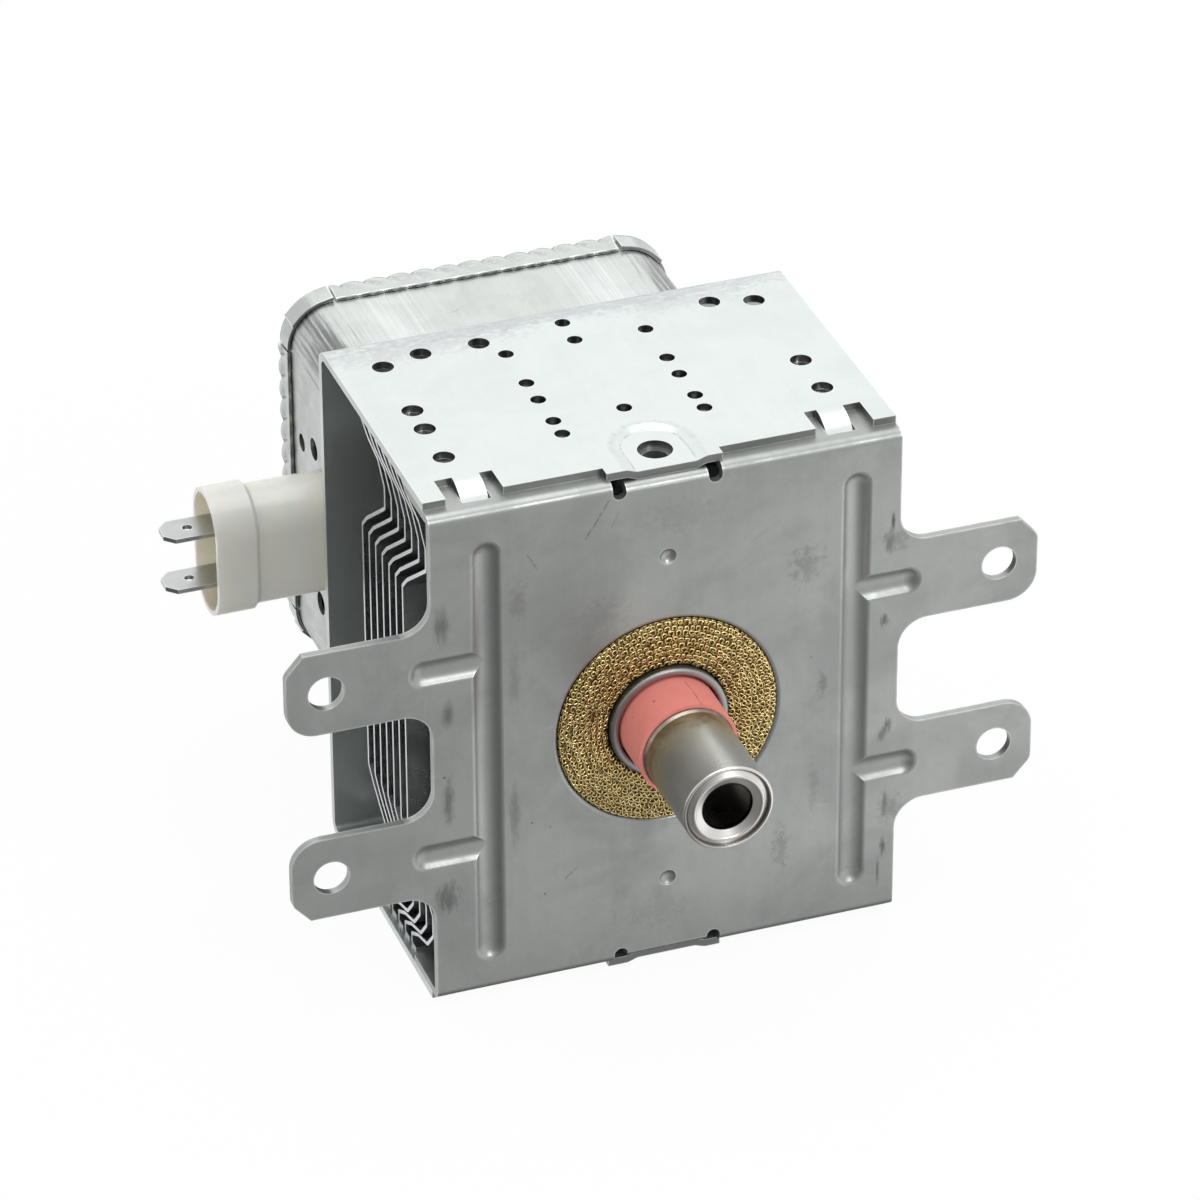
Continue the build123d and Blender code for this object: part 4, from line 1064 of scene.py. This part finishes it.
@dataclass
class TubeCore(SubAssembly):
    """Magnets, anode, pole pieces, vanes, straps, cathode and leads inside the yoke."""

    vanes: int = 10
    ends: tuple[str, str] = ("output", "cathode")

    def _at_ends(self, *kinds: str) -> list[str]:
        """Return the names of the pieces of some kinds at both ends of the tube."""
        return [f"{end}_{kind}" for end in self.ends for kind in kinds]

    def dress(self) -> None:
        """Give each inner piece its own finish."""
        turned = {"rolling": Axis.Y, "metallic": 1.0}
        ferrite = Ceramic(
            "ferrite", (0.035, 0.036, 0.038), (0.06, 0.06, 0.062), 0.55, speck_colour=grey(0.12)
        )
        copper = SheetMetal(
            "copper", (0.72, 0.36, 0.22), (0.5, 0.22, 0.13), (0.9, 0.6, 0.45),
            roughness=0.3, **turned,
        )
        fired = SheetMetal(
            "fired_copper", (0.06, 0.04, 0.03), (0.03, 0.022, 0.018), (0.12, 0.07, 0.05),
            roughness=0.6,
        )
        iron = SheetMetal(
            "soft_iron", (0.4, 0.39, 0.38), (0.3, 0.29, 0.28), (0.7, 0.7, 0.69), roughness=0.45
        )
        nickel = SheetMetal(
            "nickel_iron", (0.5, 0.5, 0.49), (0.38, 0.38, 0.37), (0.8, 0.8, 0.79),
            roughness=0.33, **turned,
        )
        collar = SheetMetal(
            "seal_nickel", (0.36, 0.36, 0.365), (0.26, 0.26, 0.265), grey(0.62),
            roughness=0.45, **turned,
        )
        tungsten = Wire("tungsten", (0.32, 0.32, 0.34), (0.2, 0.2, 0.21), 0.35)
        vanes = [f"anode_vane_{index + 1}" for index in range(self.vanes)]
        wound = ("anode_cylinder", "antenna_rod", "upper_choke_coil", "lower_choke_coil")
        leads = ("filament_coil", "centre_lead", "side_lead")

        coat(ferrite, "front_magnet", "rear_magnet", "upper_choke_core", "lower_choke_core")
        coat(copper, *wound, *vanes, *self._at_ends("inner_strap", "outer_strap"))
        coat(fired, "exhaust_tube")
        coat(iron, *self._at_ends("pole_piece"))
        coat(nickel, "output_end_ring", "stem_terminal_upper", "stem_terminal_lower")
        coat(collar, *self._at_ends("seal_cup"))
        coat(tungsten, *leads, *self._at_ends("end_hat"))


@dataclass
class AntennaOutput(SubAssembly):
    """The pink ceramic tube and the drawn cap on it."""

    mark_tone: Colour = (0.2, 0.07, 0.06)

    def dress(self) -> None:
        """Give the ceramic its line and specks, and the cap its finish."""
        line = Hairline(mm(2.1, -2.4, 8.2), mm(2.3, -9.5, 8.13), 0.16 * MM, 0.8, self.mark_tone)
        specks = (
            Mark(mm(x, y, z), mm(reach, reach, reach), 0.8, 0.5, self.mark_tone)
            for x, y, z, reach in ((-4.2, -4.9, 7.33, 0.3), (-7.4, -3.5, 4.08, 0.24))
        )
        pink = Ceramic(
            "pink_ceramic", (0.93, 0.31, 0.27), (0.84, 0.25, 0.215), 0.42, marks=(line, *specks)
        )
        coat(pink, "output_ceramic", "stem_ceramic")
        coat(DrawnCap(), "antenna_cap")


@dataclass
class FilterHousing(SubAssembly):
    """The drawn aluminium case and its lid, whose hem is crimped over the case's rim."""

    half: float = 33.7 * MM
    corner_radius: float = 7.8 * MM
    front_y: float = 92.8 * MM
    rear_y: float = 97.3 * MM
    wall_gap: float = 0.02 * MM
    hem_offset: float = 0.58 * MM
    hem_inset: float = 2.8 * MM
    fold: float = 0.5 * MM
    panel_sink: float = 0.08 * MM
    wave: float = 0.09 * MM
    pillow_rise: float = 0.62 * MM
    pillows: int = 12
    pillow_slant: float = 0.6
    pillow_shape: float = 0.62
    full_at: float = 0.7
    side_run: float = 25.4 * MM
    corner_lift: float = 0.14 * MM
    corner_split: float = 0.66
    corner_gap: float = 0.006
    corner_flare: float = 0.22 * MM
    flare_from: float = 0.3 * MM
    narrow_sink: float = 0.16 * MM
    bands: int = 7
    steps_per_pillow: int = 12
    corner_steps: int = 20
    sharp_angle: float = math.radians(50)

    def _section(self, along: float | None) -> list[tuple[float, float]]:
        """Return the hem's section as offsets from the case's wall and Y places.

        Args:
            along: Place along a side, counted in pillows, or None at a corner.

        Returns:
            The section's points, in order round it.
        """
        wave = 0.0 if along is None else self.wave * math.cos(2 * math.pi * along)
        lift = self.corner_lift if along is None else 0.0
        front, rear, body = self.front_y + wave, self.rear_y, self.hem_offset + lift
        gap = self.wall_gap
        # Front lip, from the case's wall to the hem's face
        section = [(gap, front + 0.2 * MM), (0.1 * MM, front)]
        section += [(body - 0.16 * MM, front), (body, front + 0.14 * MM)]
        # The hem's face, with the pillows that rise to the rear
        face_front = front + 0.35 * MM
        face_run = rear - 0.45 * MM - face_front
        for band in range(self.bands + 1):
            share = band / self.bands
            rise = 0.12 * MM * share
            if along is not None:
                bow = math.sin(math.pi * (along + self.pillow_slant * share))
                pillow = abs(bow) ** self.pillow_shape
                ease = min(share / self.full_at, 1.0) ** 2
                rise = self.pillow_rise * ((0.12 + 0.88 * ease) * pillow - 0.25 * ease)
            section.append((body + rise, face_front + share * face_run))
        # Rear edge, and the fold back to the wall inside the lid
        last, inset = section[-1][0], self.hem_inset
        section += [(last - 0.22 * MM, rear - 0.12 * MM), (-0.1 * MM, rear)]
        section += [(0.2 * MM - inset, rear), (-inset, rear - 0.15 * MM)]
        section += [(-inset, rear - self.fold), (gap, rear - self.fold)]
        return section

    @staticmethod
    def _add_strip(points: list[Point], faces: list[Face], rings: list[list[Point]]) -> None:
        """Append a strip through equal rings, with a cap at both ends."""
        base, size = len(points), len(rings[0])
        last = base + (len(rings) - 1) * size
        for ring in rings:
            points.extend(ring)
        faces += ring_faces(base, len(rings), size, closed=False)
        faces += [tuple(range(base, base + size)), tuple(reversed(range(last, last + size)))]

    def _corner(self, first: float, last: float, c: int, s: int) -> list[list[Point]]:
        """Return the rings of one smooth strip round a corner.

        Args:
            first: Share of the corner's turn where the strip starts.
            last: Share where it ends.
            c: Cosine of the corner's quarter turn.
            s: Sine of it.

        Returns:
            The sections along the strip.
        """
        centre, wide = self.half - self.corner_radius, last - first > 0.5
        strip = []
        for step in range(self.corner_steps + 1):
            share = step / self.corner_steps
            angle = math.pi / 2 * (first + (last - first) * share)
            flare = self.corner_flare * abs(2 * share - 1) ** 6 if wide else -self.narrow_sink
            ring = []
            for offset, y in self._section(None):
                reach = self.corner_radius + offset + (flare if offset > self.flare_from else 0.0)
                u, w = centre + reach * math.sin(angle), centre + reach * math.cos(angle)
                ring.append((c * u - s * w, y, s * u + c * w))
            strip.append(ring)
        return strip

    def _hem(self, points: list[Point], faces: list[Face]) -> None:
        """Add four pillowed side strips and, at each corner, a wide and a narrow strip."""
        count = self.pillows * self.steps_per_pillow
        for quarter in range(4):
            c, s = (round(f(math.pi / 2 * quarter)) for f in (math.cos, math.sin))
            side = []
            for step in range(count + 1):
                run = self.side_run * (2 * step / count - 1)
                ring = []
                for offset, y in self._section(step / self.steps_per_pillow):
                    wall = self.half + offset
                    ring.append((c * run - s * wall, y, s * run + c * wall))
                side.append(ring)
            self._add_strip(points, faces, side)
            split = 1 - self.corner_split if quarter % 2 else self.corner_split
            for first, last in ((0.0, split - self.corner_gap), (split + self.corner_gap, 1.0)):
                self._add_strip(points, faces, self._corner(first, last, c, s))

    def _panel(self, points: list[Point], faces: list[Face]) -> None:
        """Add the lid's flat rear panel, a rounded plate inside the hem."""
        overlap, steps = 0.3 * MM, 8
        half = self.half - self.hem_inset + overlap
        radius = self.corner_radius - self.hem_inset + overlap
        centre = half - radius
        outline = []
        for quarter, (sx, sz) in enumerate(((1, 1), (-1, 1), (-1, -1), (1, -1))):
            for step in range(steps + 1):
                angle = math.pi / 2 * (quarter + step / steps)
                x, z = radius * math.cos(angle), radius * math.sin(angle)
                outline.append((sx * centre + x, sz * centre + z))
        places = (self.rear_y - self.fold, self.rear_y - self.panel_sink)
        self._add_strip(points, faces, [[(x, y, z) for x, z in outline] for y in places])

    def _metal(self, name: str, roughness: float, blotches: float, **marks: Marks) -> SheetMetal:
        """Return drawn aluminium with the given roughness, blotches and marks."""
        return SheetMetal(
            name, (0.54, 0.565, 0.55), (0.38, 0.4, 0.39), (0.86, 0.88, 0.87),
            rolling=Axis.Y, metallic=0.97, roughness=roughness, blotch_scale=150.0,
            blotch_share=blotches, streak_share=0.3, streak_contrast=2.0,
            edge_breakup=0.15, **marks,
        )

    def build(self) -> None:
        """Fold the hem and put the lid in the place of the CAD lid."""
        points: list[Point] = []
        faces: list[Face] = []
        self._hem(points, faces)
        self._panel(points, faces)
        lip_y = self.front_y - 0.04 * MM
        # Painted shade: a dark band on the hem's front face, below its bright edge.
        under = Mark((0.0, lip_y, 0.0), mm(150.0, 0.30, 150.0), 0.85, 0.1, (0.07, 0.07, 0.068))
        metal = self._metal("lid_aluminium", 0.24, 0.42, shade=(under,))
        lid = mesh_object("crimped_lid", np.array(points), faces, metal.material())
        mesh = bmesh.new()
        mesh.from_mesh(lid.data)
        bmesh.ops.recalc_face_normals(mesh, faces=mesh.faces)
        mesh.to_mesh(lid.data)
        mesh.free()
        lid.data.set_sharp_from_angle(angle=self.sharp_angle)
        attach(lid, "root")
        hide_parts("filter_box_cover")
        LOG.info("folded %s: %d faces", lid.name, len(faces))

    def dress(self) -> None:
        """Give the case its aluminium, with streaks drawn along Y at the corners."""
        wall, corner_in, face_x, middle_y = self.half / MM, 2.2, 19.0, 75.0
        dark, dark_grain = (0.08, 0.083, 0.08), (1400.0, 45.0, 1400.0)
        bright, bright_grain = (0.92, 0.94, 0.93), (9240.0, 12.0, 9240.0)
        drawn: list[Mark | Hairline] = []
        for sx in (1, -1):
            for sz in (1, -1):
                edge = mm(sx * (wall - corner_in), middle_y, sz * (wall - corner_in))
                drawn.append(Mark(edge, mm(6.0, 26.0, 6.0), 0.7, 1.3, dark, dark_grain))
                face = mm(sx * face_x, middle_y, sz * wall)
                drawn.append(Mark(face, mm(6.0, 26.0, 3.0), 0.26, 2.4, bright, bright_grain))
        fibre = ((-8.9, 82.5), (-7.4, 82.75), (-5.6, 84.3))
        drawn += [
            Hairline(mm(*start, wall), mm(*end, wall), 0.14 * MM, 0.6, (0.16, 0.16, 0.15))
            for start, end in zip(fibre, fibre[1:])
        ]
        coat(self._metal("case_aluminium", 0.33, 0.2, marks=tuple(drawn)), "filter_box")


class PowerConnector(SubAssembly):
    """The ivory socket, its two blades and the capacitor behind them."""

    def dress(self) -> None:
        """Give the socket, the blades and the capacitor their finishes."""
        tin = SheetMetal(
            "tinned_steel", (0.46, 0.47, 0.47), (0.33, 0.34, 0.34), (0.85, 0.86, 0.86),
            metallic=1.0, roughness=0.34,
        )
        ivory = Plastic("ivory_plastic", (0.84, 0.81, 0.725), (0.78, 0.72, 0.58))
        white = Ceramic("white_ceramic", (0.8, 0.78, 0.72), (0.7, 0.68, 0.62))
        coat(ivory, "feedthrough_shroud")
        coat(white, "feedthrough_capacitor")
        coat(tin, "upper_tab", "lower_tab")


# Stage, light and camera


class Lamp(Enum):
    """The studio's soft boxes: place, target, width, height and watts."""

    OVERHEAD = ((0.0, 0.08, 1.0), (0.0, 0.0, 0.0), 0.9, 0.9, 4.6)
    TOP_BACK = ((0.26, 0.78, 0.52), (0.0, 0.03, 0.03), 1.1, 0.7, 1.1)
    KEY = ((0.27, -0.70, 0.55), (0.0, 0.0, 0.0), 0.2, 0.2, 1.75)

    def hang(self) -> None:
        """Hang this soft box in the scene."""
        place, target, width, height, watts = self.value
        data = bpy.data.lights.new(f"soft_box_{self.name.lower()}", "AREA")
        data.shape = "RECTANGLE"
        data.size = width
        data.size_y = height
        data.energy = watts
        lamp = bpy.data.objects.new(data.name, data)
        bpy.context.scene.collection.objects.link(lamp)
        turn = (Vector(target) - Vector(place)).to_track_quat("-Z", "Y")
        lamp.matrix_world = Matrix.Translation(place) @ turn.to_matrix().to_4x4()


@dataclass
class Studio:
    """Pale floor, white surroundings, soft boxes and the photograph's camera."""

    floor_z: float = -47.25 * MM
    floor_half: float = 0.5
    floor_white: float = 0.95
    floor_glow: float = 0.42
    dim: float = 0.6
    focal_px: float = 6685.07
    frame_px: float = 1200.0
    azimuth: float = -19.695
    elevation: float = 31.626
    roll: float = -0.265
    shift_right: float = -10.956 * MM
    shift_up: float = 19.305 * MM
    distance: float = 1080.854 * MM
    sensor: float = 36.0
    clip: tuple[float, float] = (0.05, 30.0)

    @staticmethod
    def _seen(graph: Graph, path: Outputs) -> Socket:
        """Return whether a ray comes from the camera, also through something clear."""
        return graph.calc("MAXIMUM", path["Is Camera Ray"], path["Is Transmission Ray"])

    @staticmethod
    def _mix(graph: Graph, share: Feed, first: Node, second: Node) -> Node:
        """Return a mix of two shader nodes."""
        inputs = {0: share, 1: first.outputs[0], 2: second.outputs[0]}
        return graph.add("ShaderNodeMixShader", inputs)

    @staticmethod
    def _room(graph: Graph) -> Socket:
        """Return the room's tone by direction: white, dimmer low down and to the left."""
        toward = graph.add("ShaderNodeTexCoord").outputs["Generated"]
        split = graph.split(toward)
        side = graph.remap(split["X"], -0.85, 1.0, to_low=0.16)
        low = graph.remap(split["Z"], -0.98, -0.62, to_low=0.25)
        lean = graph.vector("DOT_PRODUCT", toward, (0.0, -0.7, -0.7))
        return graph.blend(graph.remap(lean, -0.25, 0.35), WHITE, graph.product(side, low))

    @staticmethod
    def _glow(graph: Graph) -> Socket:
        """Return where the floor glows in reflections: in front and to the right."""
        spot = graph.split(graph.place())
        ahead = graph.calc("MULTIPLY_ADD", spot["Y"], 7.0, 0.96)
        nearer = graph.remap(graph.calc("MULTIPLY_ADD", spot["X"], 10.0, ahead), 0.2, 1.15)
        return graph.product(nearer, graph.remap(spot["Y"], -5.0 * MM, -30.0 * MM))

    def _lay_floor(self) -> None:
        """Lay the floor: pale and shadowed to the eye, clear with a glow in reflections."""
        pale = bpy.data.materials.new("pale_floor")
        graph = Graph.blank(pale)
        path = graph.add("ShaderNodeLightPath").outputs
        matte = graph.add("ShaderNodeBsdfDiffuse", {"Color": grey(0.9)})
        white = graph.add("ShaderNodeEmission", {"Color": WHITE, "Strength": 1.0})
        share = graph.product(self._seen(graph, path), self.floor_white)
        plain = self._mix(graph, share, matte, white)
        clear = graph.add("ShaderNodeBsdfTransparent")
        strength = graph.product(self._glow(graph), self.floor_glow)
        lit = graph.add("ShaderNodeEmission", {"Color": WHITE, "Strength": strength})
        both = graph.add("ShaderNodeAddShader", {0: clear.outputs[0], 1: lit.outputs[0]})
        mix = self._mix(graph, path["Is Glossy Ray"], plain, both)
        graph.add("ShaderNodeOutputMaterial", {"Surface": mix.outputs[0]})
        half = self.floor_half
        around = ((-half, -half), (half, -half), (half, half), (-half, half))
        corners = np.array([(x, y, self.floor_z) for x, y in around])
        floor = mesh_object("floor", corners, [(0, 1, 2, 3)], pale, smooth=False)

    def _set_world(self) -> None:
        """Surround the scene: white to the eye, dim as a light, toned in reflections."""
        world = bpy.data.worlds.new("white_room")
        bpy.context.scene.world = world
        graph = Graph.blank(world)
        path = graph.add("ShaderNodeLightPath").outputs
        dim, white, mirrored = (
            graph.add("ShaderNodeBackground", {"Color": colour, "Strength": strength})
            for colour, strength in ((WHITE, self.dim), (WHITE, 1.0), (self._room(graph), 1.0))
        )
        plain = self._mix(graph, self._seen(graph, path), dim, white)
        mix = self._mix(graph, path["Is Glossy Ray"], plain, mirrored)
        graph.add("ShaderNodeOutputWorld", {"Surface": mix.outputs[0]})

    def build(self) -> None:
        """Lay the floor, set the world and hang all soft boxes."""
        self._lay_floor()
        self._set_world()
        for lamp in Lamp:
            lamp.hang()

    def aim_camera(self) -> None:
        """Set up the camera that was fitted to the photograph."""
        angles = (self.azimuth, self.elevation, self.roll)
        azimuth, elevation, roll = (math.radians(angle) for angle in angles)
        back = Vector((
            math.sin(azimuth) * math.cos(elevation),
            -math.cos(azimuth) * math.cos(elevation),
            math.sin(elevation),
        ))
        right = (-back).cross(Vector((0, 0, 1))).normalized()
        up = right.cross(-back)
        turned_right = math.cos(roll) * right + math.sin(roll) * up
        turned_up = -math.sin(roll) * right + math.cos(roll) * up
        eye = self.shift_right * turned_right + self.shift_up * turned_up + self.distance * back
        data = bpy.data.cameras.new("photo_camera")
        data.sensor_width = self.sensor
        data.sensor_fit = "HORIZONTAL"
        data.lens = self.focal_px / self.frame_px * self.sensor
        data.clip_start, data.clip_end = self.clip
        camera = bpy.data.objects.new("photo_camera", data)
        bpy.context.scene.collection.objects.link(camera)
        turn = Matrix((turned_right, turned_up, back)).transposed().to_4x4()
        camera.matrix_world = Matrix.Translation(eye) @ turn
        bpy.context.scene.camera = camera
        bpy.context.scene.view_settings.view_transform = "Standard"


def main() -> None:
    """Build and dress every sub-assembly, then the studio round it."""
    logging.basicConfig(level=logging.INFO, format="%(name)s: %(message)s")
    studio = Studio()
    studio.aim_camera()
    studio.build()
    parts: tuple[SubAssembly, ...] = (
        SteelShell(), KnittedGasket(), FinStack(), TubeCore(),
        AntennaOutput(), FilterHousing(), PowerConnector(),
    )
    for part in parts:
        part.build()
        part.dress()
        LOG.info("finished %s", type(part).__name__)


if __name__ == "__main__":
    main()
